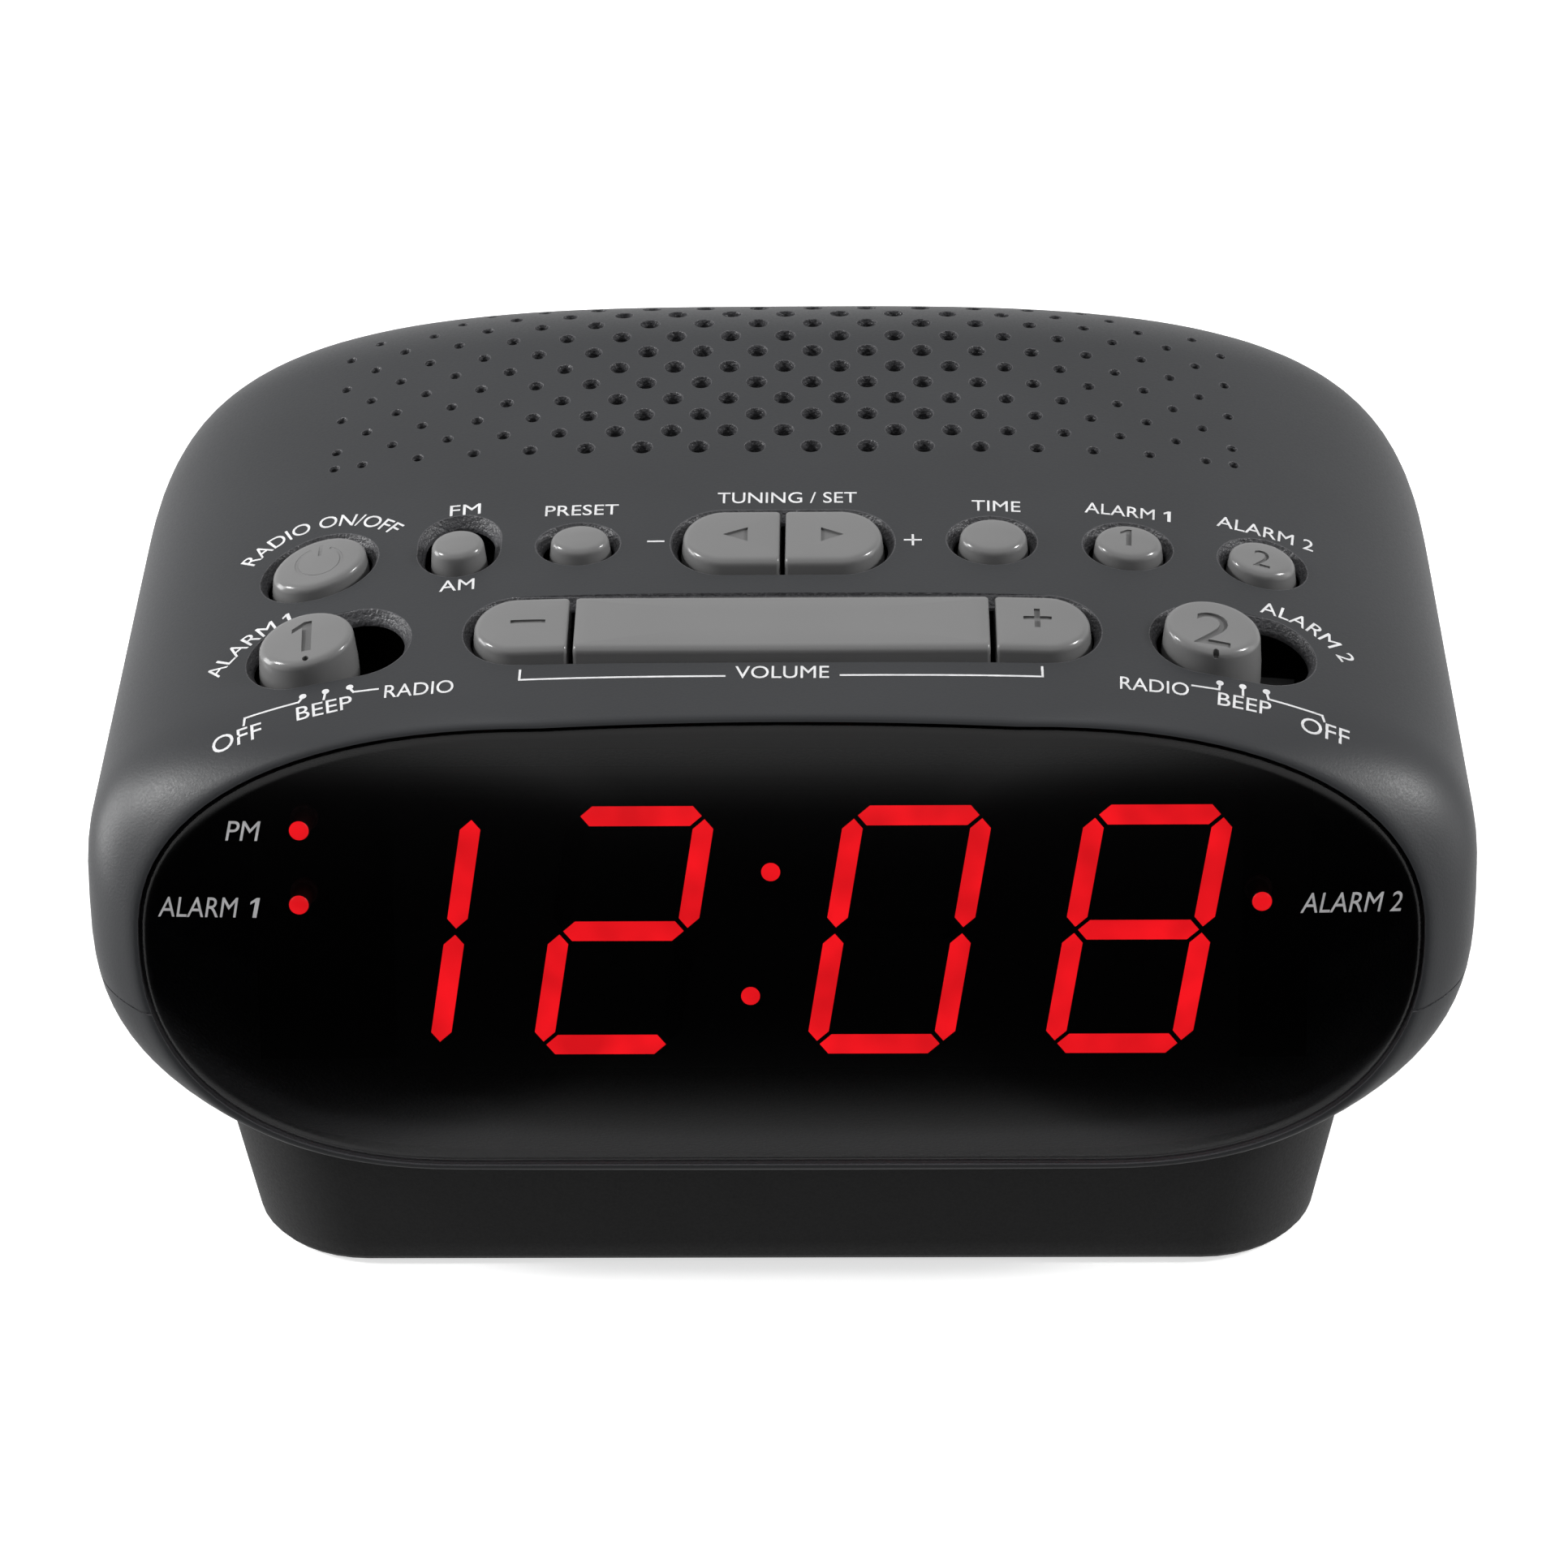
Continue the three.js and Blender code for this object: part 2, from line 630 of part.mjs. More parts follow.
function pedestalSolid() {
  const { foot, footBevel, floor, top } = PEDESTAL;
  const outer = solid(
    loft([pedestalRing(foot, footBevel), pedestalRing(foot + footBevel, 0), pedestalRing(top, 0)]),
  );
  const inner = solid(loft([pedestalRing(foot + floor, WALL), pedestalRing(top + 1, WALL)]));
  const bosses = screwPlaces.map(({ x, y }) => rodSolid(x, y, SCREW.boss, 1, top, 12));
  const grownHousing = housingSolid(-GAP, -GAP);
  const recesses = footPlaces.map(({ x, y }) =>
    rodSolid(x, y, FOOT.radius + GAP, 0, FOOT.height + GAP, 16),
  );
  const shankHoles = screwPlaces.map(({ x, y }) => rodSolid(x, y, SCREW.shank + GAP, 0, top, 8));
  const walls = join(cut(outer, inner), ...bosses, batteryBayOuter());
  return cut(walls, grownHousing, batteryBaySpace(), ...recesses, ...screwBores, ...shankHoles);
}

const footPlaces = [
  { name: "foot_front_left", x: -FOOT.frontX, y: FOOT.front },
  { name: "foot_front_right", x: FOOT.frontX, y: FOOT.front },
  { name: "foot_rear_left", x: -FOOT.rearX, y: FOOT.rear },
  { name: "foot_rear_right", x: FOOT.rearX, y: FOOT.rear },
];
footPlaces.forEach(({ name, x, y }) => {
  add(radio, name, rod(x, y, FOOT.radius, 0, FOOT.height, 16), rubberBlack);
});
add(radio, "pedestal", pedestalSolid(), pedestalBlack);

// The lens is a plate with a bevelled front edge, flush with the rim.
const lensPlate = loft([
  lensOutline(0, -LENS.thickness),
  lensOutline(0, -0.6),
  lensOutline(-0.6, 0),
]);
add(face, "display_lens", lensPlate, smoked);

// ---- Display ------------------------------------------------------------------------------------

const lean = (s) => s * Math.tan(DIGIT.slant);

// The six corners of one bar segment between two points of the upright digit.
function segmentCorners([x0, y0], [x1, y1]) {
  const along = new THREE.Vector2(x1 - x0, y1 - y0).normalize();
  const across = new THREE.Vector2(-along.y, along.x);
  const half = DIGIT.segment / 2;
  const start = new THREE.Vector2(x0, y0).addScaledVector(along, DIGIT.gap);
  const end = new THREE.Vector2(x1, y1).addScaledVector(along, -DIGIT.gap);
  const corner = (from, step, side) =>
    from.clone().addScaledVector(along, step).addScaledVector(across, side);
  return [
    start,
    corner(start, half, -half),
    corner(end, -half, -half),
    end,
    corner(end, -half, half),
    corner(start, half, half),
  ];
}

// The centre lines of the seven segments, named as on a data sheet, about the middle of the digit.
function segmentLines() {
  const x = (DIGIT.width - DIGIT.segment) / 2;
  const y = (DIGIT.height - DIGIT.segment) / 2;
  return {
    a: [[-x, y], [x, y]],
    b: [[x, 0], [x, y]],
    c: [[x, -y], [x, 0]],
    d: [[-x, -y], [x, -y]],
    e: [[-x, -y], [-x, 0]],
    f: [[-x, 0], [-x, y]],
    g: [[-x, 0], [x, 0]],
  };
}

// The module's block with a shallow pocket for each segment. The first digit can only show a one.
function moduleSolid() {
  const { left, right, bottom, top, front, back } = MODULE_BOX;
  const prism = (points) => {
    const at = (level) => points.map((p) => new THREE.Vector3(p.x, p.y, level));
    return solid(loft([at(front - DIGIT.pocket), at(front + 1)]));
  };
  const segments = DIGIT_CENTRES.flatMap((centre, index) =>
    Object.entries(segmentLines())
      .filter(([name]) => index > 0 || name === "b" || name === "c")
      .map(([, [start, end]]) => {
        const corners = segmentCorners(start, end);
        return prism(corners.map((p) => new THREE.Vector2(centre + p.x + lean(p.y), p.y)));
      }),
  );
  const dots = [COLON.upper, COLON.lower].map((s) =>
    rodSolid(COLON.x + lean(s), s, COLON.radius, front - DIGIT.pocket, front + 1, 8),
  );
  return cut(boxSolid(left, right, bottom, top, back, front), ...segments, ...dots);
}

add(face, "digit_module", moduleSolid(), moduleBlack);

const displayBoard = box(
  -DISPLAY_BOARD.halfLength,
  DISPLAY_BOARD.halfLength,
  DISPLAY_BOARD.bottom,
  DISPLAY_BOARD.top,
  DISPLAY_BOARD.front - DISPLAY_BOARD.thickness,
  DISPLAY_BOARD.front,
);
add(face, "display_board", displayBoard, boardTan);

// A round LED with a collar at its foot and a domed tip.
function ledShape() {
  const [foot, tip] = [DISPLAY_BOARD.front + GAP, MODULE_BOX.front];
  return turned(
    [
      [0, foot],
      [LED_RADIUS + 0.4, foot],
      [LED_RADIUS + 0.4, foot + 1],
      [LED_RADIUS, foot + 1],
      [LED_RADIUS, tip - 1],
      [LED_RADIUS * 0.7, tip - 0.3],
      [0, tip],
    ],
    12,
  );
}

Object.entries(INDICATORS).forEach(([name, [x, s]]) => {
  add(face, name, ledShape(), litRed).position.set(x, s, 0);
});

// ---- Buttons, knobs and their switches ----------------------------------------------------------

// A ring of an outline at a level that follows the top surface across the radio.
const surfaceRing = (shape, level) => outline(shape).map((p) => p.setZ(level - crossFall(p.x)));
const levelRing = (shape, level) => outline(shape).map((p) => p.setZ(level));

// The flange keeps a piece from lifting out of its opening. It doesn't reach towards a neighbour in
// the same opening.
function flangeOf(shape, reach) {
  const grownLeft = shape.left > 1 ? reach : 0;
  const grownRight = shape.right > 1 ? reach : 0;
  return {
    ...shape,
    x: shape.x + (grownRight - grownLeft) / 2,
    length: shape.length + grownLeft + grownRight,
    width: shape.width + 2 * reach,
    left: shape.left + grownLeft,
    right: shape.right + grownRight,
  };
}

// A moulded cap from its foot up: stem, flange, side wall and bevelled top.
function capShape(shape, stem, stemEnd, proud, flangeReach) {
  const flange = flangeOf(shape, flangeReach);
  const flangeBottom = BUTTON.flangeTop - BUTTON.flangeThickness;
  return loft([
    levelRing(stem, stemEnd),
    surfaceRing(stem, flangeBottom),
    surfaceRing(flange, flangeBottom),
    surfaceRing(flange, BUTTON.flangeTop),
    surfaceRing(shape, BUTTON.flangeTop),
    surfaceRing(shape, proud - BUTTON.bevel),
    surfaceRing({ ...shape, grow: -BUTTON.bevel }, proud),
  ]);
}

// A tact switch: a square body with its plunger on top.
function tactSwitch(x, y) {
  const half = SWITCH.side / 2;
  const foot = BOARD.level + GAP;
  const top = BOARD.level + SWITCH.body;
  return join(
    boxSolid(x - half, x + half, y - half, y + half, foot, top),
    rodSolid(x, y, 1.7, top - 0.5, top + SWITCH.plunger, 12),
  );
}

Object.entries(BUTTONS).forEach(([name, shape]) => {
  const round = BUTTON.stem;
  const stem = { ...shape, length: 2 * round, width: 2 * round, left: round, right: round };
  add(deck, name, capShape(shape, stem, STEM_END, BUTTON.proud, BUTTON.flange), buttonGrey);
  add(deck, name.replace(/_(button|bar)$/, "_switch"), tactSwitch(shape.x, shape.y), partBlack);
});

// A knob's tongue reaches down into the slot of its slide switch.
function knobShape(shape, proud) {
  const { tongueLength, tongue: width } = SLIDE_SWITCH;
  const tongue = { ...shape, length: tongueLength, width, left: SQUARE, right: SQUARE };
  const tongueEnd = BOARD.level + SLIDE_SWITCH.height - 1.6;
  return capShape(shape, tongue, tongueEnd, proud, BUTTON.flange);
}

// A slide switch: a block whose top has a slot along the knob's way.
function slideSwitch(x, y, turn, travel) {
  const foot = BOARD.level + GAP;
  const top = BOARD.level + SLIDE_SWITCH.height;
  const block = box(
    -SLIDE_SWITCH.length / 2,
    SLIDE_SWITCH.length / 2,
    -SLIDE_SWITCH.width / 2,
    SLIDE_SWITCH.width / 2,
    foot,
    top,
  );
  const slotHalf = (travel + SLIDE_SWITCH.tongueLength) / 2 + 0.8;
  const slotSide = SLIDE_SWITCH.slotWidth / 2;
  const slot = box(-slotHalf, slotHalf, -slotSide, slotSide, top - SLIDE_SWITCH.slotDepth, top + 1);
  const place = new THREE.Matrix4().makeRotationZ(turn).setPosition(x, y, 0);
  return cut(solid(block, place), solid(slot, place));
}

const bandRest = BAND.y - BAND.travel / 2;
const bandKnob = pill(BAND.x, bandRest, BAND.length, BAND.width);
bandKnob.left = BAND.length / 2;
bandKnob.right = BAND.length / 2;
add(deck, "band_knob", knobShape(bandKnob, BAND.proud), buttonGrey);
add(deck, "band_switch", slideSwitch(BAND.x, BAND.y, Math.PI / 2, BAND.travel), partBlack);

[
  ["alarm1", -SLIDER.x, SLIDER.turn],
  ["alarm2", SLIDER.x, -SLIDER.turn],
].forEach(([name, x, turn]) => {
  const restX = x + SLIDER.rest * Math.cos(turn);
  const restY = SLIDER.y + SLIDER.rest * Math.sin(turn);
  const knob = oval(restX, restY, SLIDER.length, SLIDER.width, turn);
  const middle = SLIDER.rest + SLIDER.travel / 2;
  const slotX = x + middle * Math.cos(turn);
  const slotY = SLIDER.y + middle * Math.sin(turn);
  add(deck, name + "_knob", knobShape(knob, SLIDER.proud), buttonGrey);
  add(deck, name + "_slide_switch", slideSwitch(slotX, slotY, turn, SLIDER.travel), partBlack);
});

const controlBoard = box(
  -BOARD.halfLength,
  BOARD.halfLength,
  BOARD.front,
  BOARD.rear,
  BOARD.level - BOARD.thickness,
  BOARD.level,
);
add(deck, "control_board", controlBoard, boardTan);

// ---- Speaker ------------------------------------------------------------------------------------

const basket = turned([
  [9, -SPEAKER.depth],
  [14, -SPEAKER.depth],
  [25.5, -2],
  [SPEAKER.radius, -2],
  [SPEAKER.radius, -GAP],
  [25.8, -GAP],
  [24.6, -1.4],
  [13.4, -SPEAKER.depth + 1.2],
  [9, -SPEAKER.depth + 1.2],
  [9, -SPEAKER.depth],
]);
add(radio, "speaker_basket", basket, steel).position.set(0, SPEAKER.y, SPEAKER.flangeTop);

const cone = turned([
  [0, -8.2],
  [6, -9.6],
  [7, -12],
  [8, -12],
  [23.4, -1.4],
  [24.6, -0.4],
  [22.8, -0.6],
  [7.6, -11],
  [6.4, -8.8],
  [0, -7.2],
]);
add(radio, "speaker_cone", cone, paperBlack).position.set(0, SPEAKER.y, SPEAKER.flangeTop);

const magnetTop = SPEAKER.flangeTop - SPEAKER.depth - GAP;
add(radio, "speaker_magnet", rod(0, SPEAKER.y, 15.5, magnetTop - 7.5, magnetTop, 20), ferriteGrey);

// ---- Parts inside the lower half ----------------------------------------------------------------

const mainBoard = box(
  -MAIN_BOARD.halfLength,
  MAIN_BOARD.halfLength,
  MAIN_BOARD.front,
  MAIN_BOARD.rear,
  MAIN_BOARD.z,
  MAIN_BOARD.z + MAIN_BOARD.thickness,
);
add(radio, "main_board", mainBoard, boardGreen);

const chipFoot = MAIN_BOARD.z + MAIN_BOARD.thickness + GAP;
add(radio, "clock_chip", box(-18, 18, -25, -13, chipFoot, chipFoot + 4), partBlack);

// The transformer: a stack of laminations with its winding bobbin standing out on both sides.
function transformerSolid() {
  const { x, y, z, length, width, height } = TRANSFORMER;
  const [stackHalf, bobbinHalf] = [length / 2, length / 3];
  const stack = boxSolid(x - stackHalf, x + stackHalf, y - width / 4, y + width / 4, z, z + height);
  const bobbin = boxSolid(
    x - bobbinHalf,
    x + bobbinHalf,
    y - width / 2,
    y + width / 2,
    z + TRANSFORMER.flange,
    z + height - TRANSFORMER.flange,
  );
  return join(stack, bobbin);
}
add(radio, "transformer", transformerSolid(), laminations);

// A round piece along Y, from a profile of [radius, y] points.
const alongY = (profile, sides) => {
  const points = profile.map(([radius, y]) => new THREE.Vector2(radius, y));
  return new THREE.LatheGeometry(points, sides);
};

const ferriteRod = alongY(
  [
    [0, FERRITE.front],
    [FERRITE.radius, FERRITE.front],
    [FERRITE.radius, FERRITE.rear],
    [0, FERRITE.rear],
  ],
  12,
);
add(radio, "ferrite_rod", ferriteRod, ferriteGrey).position.set(FERRITE.x, 0, FERRITE.z);

const coilInner = FERRITE.radius + GAP;
const coil = alongY(
  [
    [coilInner, FERRITE.coilFront],
    [FERRITE.coilRadius, FERRITE.coilFront],
    [FERRITE.coilRadius, FERRITE.coilRear],
    [coilInner, FERRITE.coilRear],
    [coilInner, FERRITE.coilFront],
  ],
  16,
);
add(radio, "antenna_coil", coil, copper).position.set(FERRITE.x, 0, FERRITE.z);

// The cord gland: a flange outside the rear wall and a barrel through it, with the cord's blind bore.
const rearWall = FRONT.y + BODY.rear;
const gland = alongY(
  [
    [0, -6],
    [GLAND.barrel, -6],
    [GLAND.barrel, GAP],
    [GLAND.flange, GAP],
    [GLAND.flange, GLAND.proud],
    [GLAND.bore, GLAND.proud],
    [GLAND.bore, -4],
    [0, -4],
  ],
  16,
);
add(radio, "cord_gland", gland, rubberBlack).position.set(GLAND.x, rearWall, GLAND.z);

// ---- Screws -------------------------------------------------------------------------------------

// A pan-head screw that points up, with its head's seat at height zero and a cross socket below.
function screwSolid() {
  const body = join(
    rodSolid(0, 0, SCREW.head, -SCREW.headHeight, 0, 12),
    rodSolid(0, 0, SCREW.shank, -0.5, SCREW.length, 8),
  );
  const [long, short] = [1.7, 0.45];
  const foot = -SCREW.headHeight - 1;
  return cut(
    body,
    boxSolid(-long, long, -short, short, foot, foot + 2),
    boxSolid(-short, short, -long, long, foot, foot + 2),
  );
}

const SCREW_NAMES = ["screw_front_left", "screw_rear_left", "screw_front_right", "screw_rear_right"];
screwPlaces.forEach(({ x, y, seat }, index) => {
  add(radio, SCREW_NAMES[index], screwSolid(), steel).position.set(x, y, seat);
});

// ---- Battery door and connector -----------------------------------------------------------------

// The door's profile across the bay, with its rear edge rounded about the hinge axis.
function doorSolid() {
  const axis = doorAxis();
  const half = DOOR.thickness / 2;
  const profile = new THREE.Shape();
  const front = BAY.front + GAP - axis.y;
  profile.moveTo(front, -half);
  profile.lineTo(0, -half);
  profile.absarc(0, 0, half, -Math.PI / 2, Math.PI / 2, false);
  profile.lineTo(front, half);
  const bayLength = BAY.right - BAY.left;
  const plate = new THREE.ExtrudeGeometry(profile, {
    depth: bayLength - 2 * GAP,
    bevelEnabled: false,
    curveSegments: 6,
  });
  // The profile's plane is turned so that its x runs along Y, its y runs up and its depth along X.
  const place = new THREE.Matrix4().makeBasis(
    new THREE.Vector3(0, 1, 0),
    new THREE.Vector3(0, 0, 1),
    new THREE.Vector3(1, 0, 0),
  );
  place.setPosition(BAY.left + GAP, axis.y, axis.z);
  const middle = (BAY.left + BAY.right) / 2;
  const pinLength = bayLength + 2 * (DOOR.pinReach - DOOR.pinEndGap);
  const pins = solid(
    new THREE.CylinderGeometry(DOOR.pin, DOOR.pin, pinLength, 8),
    new THREE.Matrix4().makeRotationZ(Math.PI / 2).setPosition(middle, axis.y, axis.z),
  );
  const notch = boxSolid(middle - 7, middle + 7, BAY.front, BAY.front + 3, 0, DOOR.bottom + 0.8);
  return cut(join(solid(plate, place), pins), notch);
}
add(radio, "battery_door", doorSolid(), pedestalBlack);

// The snap connector stands at the bay's left end, with its two round contacts facing the battery.
function connectorSolid() {
  const x = BAY.left + GAP;
  const middle = (BAY.front + BAY.rear) / 2;
  const contacts = [-6.35, 6.35].map((offset) =>
    solid(
      new THREE.CylinderGeometry(2.9, 2.9, 5, 10),
      new THREE.Matrix4().makeRotationZ(Math.PI / 2).setPosition(x + 4.5, middle + offset, 12.4),
    ),
  );
  return join(boxSolid(x, x + 3.6, middle - 13, middle + 13, 5, 20), ...contacts);
}
add(radio, "battery_connector", connectorSolid(), partBlack);

export default radio;
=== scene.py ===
"""Looks of the clock radio, built round its CAD frame.

Lengths are in millimetres until a mesh is made. The frame is the CAD's: +Z up, +X to the right of the
display, +Y to the rear, with the origin on the table under the middle of the radio.
"""
import math

import bmesh
import bpy
import numpy as np
from mathutils import Matrix, Vector
from mathutils.bvhtree import BVHTree
from mathutils.interpolate import poly_3d_calc


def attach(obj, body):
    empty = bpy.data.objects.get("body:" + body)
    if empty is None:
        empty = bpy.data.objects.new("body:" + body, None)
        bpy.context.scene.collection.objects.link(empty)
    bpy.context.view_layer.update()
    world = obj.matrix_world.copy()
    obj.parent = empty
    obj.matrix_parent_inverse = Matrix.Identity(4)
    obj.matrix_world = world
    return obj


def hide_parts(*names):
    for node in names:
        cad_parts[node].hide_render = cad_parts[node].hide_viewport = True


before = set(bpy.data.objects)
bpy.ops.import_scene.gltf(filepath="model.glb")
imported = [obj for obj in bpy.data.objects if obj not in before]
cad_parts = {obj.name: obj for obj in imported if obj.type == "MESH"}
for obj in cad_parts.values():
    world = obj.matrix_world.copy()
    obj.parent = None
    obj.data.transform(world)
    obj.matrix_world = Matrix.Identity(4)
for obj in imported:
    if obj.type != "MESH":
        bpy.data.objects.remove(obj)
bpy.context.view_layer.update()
MM = 0.001

# ---- Dimensions, as in the CAD ----

WALL = 2.2
GAP = 0.3
FRONT_Y, FRONT_Z, FRONT_LEAN = -57.3, 53.8, math.radians(16)
LENS_HALF_WIDTH, LENS_RISE, LENS_DROP = 87.15, 30.5, 32.2
TOP_SHOULDER, BOTTOM_SHOULDER, SHOULDER_POWER, TOP_CROWN = 0.365, 0.494, 2.3, 0.025
LENS_THICKNESS = 2.4
RIM = 1.0
HALF_WIDTH, RISE, RISE_SLOPE, DROP, AXIS_SLOPE = 95.8, 30.1, 0.039, 36, 0.092
FLARE_DEPTH, LEAN_DEPTH = 16, 66
TOP_POWER, BOTTOM_POWER = 3.17, 3.0
END, REAR = 130.8, 122.6
PLAN_ROLL, PLAN_POWER = 75.4, 3.1
SIDE_ROLL, SIDE_POWER = 96.9, 1.957
SEAM_Z, SEAM_SLOPE, SEAM_GAP = 44.2, 0.105, 0.3
DECK_Z, DECK_SLOPE = 91, math.atan(0.131)

DECK = Matrix.Translation((0, 0, DECK_Z)) @ Matrix.Rotation(DECK_SLOPE, 4, "X")
FACE = Matrix.Translation((0, FRONT_Y, FRONT_Z)) @ Matrix.Rotation(math.pi / 2 - FRONT_LEAN, 4, "X")
PLAN = Matrix.Identity(4)

# ---- Meshes ----

# A face lies on the skin if it is this near and faces this nearly the same way.
SKIN_NEAR, SKIN_FACING = 0.2, 0.8

# How far above the front face, and above the other planes, a ray towards a surface starts.
ABOVE_FACE, ABOVE_PLAN = 60, 200


def turned_out(vertices, faces):
    """The faces, flipped if they enclose a negative volume."""
    points = np.asarray(vertices)
    volume = sum(
        np.dot(points[f[0]], np.cross(points[f[k]], points[f[k + 1]]))
        for f in faces
        for k in range(1, len(f) - 1)
    )
    return faces if volume > 0 else [tuple(reversed(f)) for f in faces]


def loft(rings):
    """Vertices and faces of a closed solid through matching rings, with a fan over each end."""
    rings = np.asarray(rings, float)
    count, size = rings.shape[:2]
    vertices = rings.reshape(-1, 3).tolist()
    faces = []
    for k in range(count - 1):
        for i in range(size):
            j = (i + 1) % size
            faces.append((k * size + i, k * size + j, (k + 1) * size + j, (k + 1) * size + i))
    for k in (0, count - 1):
        centre = len(vertices)
        vertices.append(rings[k].mean(0).tolist())
        for i in range(size):
            pair = (k * size + i, k * size + (i + 1) % size)
            faces.append((centre, *(pair if k else reversed(pair))))
    return vertices, turned_out(vertices, faces)


def moved(matrix, vertices):
    """Points moved by a matrix."""
    points = np.asarray(vertices, float)
    m = np.array(matrix)
    return points @ m[:3, :3].T + m[:3, 3]


def merged(parts):
    """Several (vertices, faces) as one."""
    vertices, faces = [], []
    for part_vertices, part_faces in parts:
        start = len(vertices)
        vertices.extend(np.asarray(part_vertices).tolist())
        faces.extend(tuple(start + i for i in f) for f in part_faces)
    return vertices, faces


def new_object(name, data):
    """A new object in the scene."""
    obj = bpy.data.objects.new(name, data)
    bpy.context.scene.collection.objects.link(obj)
    return obj


def mesh_object(name, vertices, faces, materials=(), index=0):
    """A new object in the scene, from millimetres."""
    mesh = bpy.data.meshes.new(name)
    mesh.from_pydata((np.asarray(vertices) * MM).tolist(), [], [tuple(f) for f in faces])
    for material in materials:
        mesh.materials.append(material)
    mesh.polygons.foreach_set("material_index", [index] * len(mesh.polygons))
    return new_object(name, mesh)


def bake_modifiers(obj):
    """Replaces an object's mesh with what its modifiers make of it."""
    graph = bpy.context.evaluated_depsgraph_get()
    made = bpy.data.meshes.new_from_object(obj.evaluated_get(graph))
    obj.modifiers.clear()
    old = obj.data
    obj.data = made
    bpy.data.meshes.remove(old)


def carve(obj, tool, operation="DIFFERENCE"):
    """Cuts a closed mesh with another, which is then thrown away."""
    modifier = obj.modifiers.new("carve", "BOOLEAN")
    modifier.solver = "MANIFOLD"
    modifier.operation = operation
    modifier.object = tool
    bake_modifiers(obj)
    bpy.data.objects.remove(tool)
    if not obj.data.polygons:
        raise RuntimeError(obj.name + " has nothing left after a cut")


def stand_in(obj, body, node_name):
    """Puts an object on a body in the place of a CAD piece, and hides the piece."""
    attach(obj, body)
    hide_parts(node_name)


def box(x0, x1, y0, y1, z0, z1):
    """Vertices and faces of a box."""
    ring = [(x0, y0), (x1, y0), (x1, y1), (x0, y1)]
    return loft([[(x, y, z) for x, y in ring] for z in (z0, z1)])


def circle(x, y, radius, sides):
    """Points round a circle."""
    angles = np.arange(sides) * 2 * math.pi / sides
    return [(x + radius * math.cos(a), y + radius * math.sin(a)) for a in angles]


def turned(profile, sides=48):
    """A solid turned on the Z axis, from (radius, height) points up its outside."""
    return loft([[(x, y, z) for x, y in circle(0, 0, radius, sides)] for radius, z in profile])


class Surface:
    """The outside of a mesh, as heights above a plane given by a matrix."""

    def __init__(self, matrix, vertices, faces):
        self.matrix = matrix
        self.above = ABOVE_FACE if matrix is FACE else ABOVE_PLAN
        self.tree = BVHTree.FromPolygons(moved(matrix.inverted(), vertices).tolist(), faces)

    def height(self, x, y):
        hit = self.tree.ray_cast(Vector((x, y, self.above)), Vector((0, 0, -1)))[0]
        if hit is None:
            raise RuntimeError(f"nothing of the surface lies under {x:.1f}, {y:.1f}")
        return hit.z

    def lay(self, points):
        """Points whose z is a height above the surface, in the radio's frame."""
        return moved(self.matrix, [(x, y, z + self.height(x, y)) for x, y, z in points])


def clean_normals(obj, reference=None, sharp=35):
    """Smooths an object up to a sharp angle in degrees. Faces that lie on the reference skin take its
    normals, so that openings cut into it leave no dents in its shine."""
    mesh = obj.data
    mesh.shade_smooth()
    mesh.set_sharp_from_angle(angle=math.radians(sharp))
    if reference is None:
        return
    vertices, faces, normals, tree = reference
    corners = np.empty(len(mesh.loops) * 3)
    mesh.corner_normals.foreach_get("vector", corners)
    corners = corners.reshape(-1, 3)
    known = {}
    for polygon in mesh.polygons:
        if polygon.material_index:
            continue
        middle = polygon.center / MM
        place, face_normal, _, distance = tree.find_nearest(middle)
        if distance > SKIN_NEAR or face_normal.dot(polygon.normal) < SKIN_FACING:
            continue
        for loop in polygon.loop_indices:
            v = mesh.loops[loop].vertex_index
            if v not in known:
                point = mesh.vertices[v].co / MM
                place, _, index, _ = tree.find_nearest(point)
                corner = faces[index]
                weights = poly_3d_calc([Vector(vertices[i]) for i in corner], place)
                known[v] = sum((w * normals[i] for w, i in zip(weights, corner)), np.zeros(3))
            corners[loop] = known[v]
    corners /= np.linalg.norm(corners, axis=1, keepdims=True)
    mesh.normals_split_custom_set(corners.tolist())


# ---- Materials ----


def set_inputs(node, values):
    """Sets a node's inputs by name."""
    for name, value in values.items():
        node.inputs[name].default_value = value


def material(name):
    """A new material with its node tree, its shader and its coordinates in metres."""
    made = bpy.data.materials.new(name)
    made.use_nodes = True
    tree = made.node_tree
    shader = tree.nodes["Principled BSDF"]
    place = tree.nodes.new("ShaderNodeTexCoord").outputs["Object"]
    return made, tree, shader, place


def noise(tree, place, size, detail=2.0, roughness=0.5):
    """A noise texture whose features are about size metres across."""
    node = tree.nodes.new("ShaderNodeTexNoise")
    set_inputs(node, {"Scale": 1 / size, "Detail": detail, "Roughness": roughness})
    tree.links.new(place, node.inputs["Vector"])
    return node.outputs["Fac"]


def ramp(tree, value, low, high):
    """Maps noise between about 0.3 and 0.7 to the range from low to high."""
    node = tree.nodes.new("ShaderNodeMapRange")
    set_inputs(node, {"From Min": 0.3, "From Max": 0.7, "To Min": low, "To Max": high})
    tree.links.new(value, node.inputs["Value"])
    return node.outputs["Result"]


def tinted(tree, value, colour, spread):
    """A colour that drifts lighter and darker by spread with a value."""
    node = tree.nodes.new("ShaderNodeMix")
    node.data_type = "RGBA"
    for socket, share in (("A", 1 - spread), ("B", 1 + spread)):
        node.inputs[socket].default_value = (*[c * share for c in colour], 1)
    tree.links.new(value, node.inputs["Factor"])
    return node.outputs["Result"]


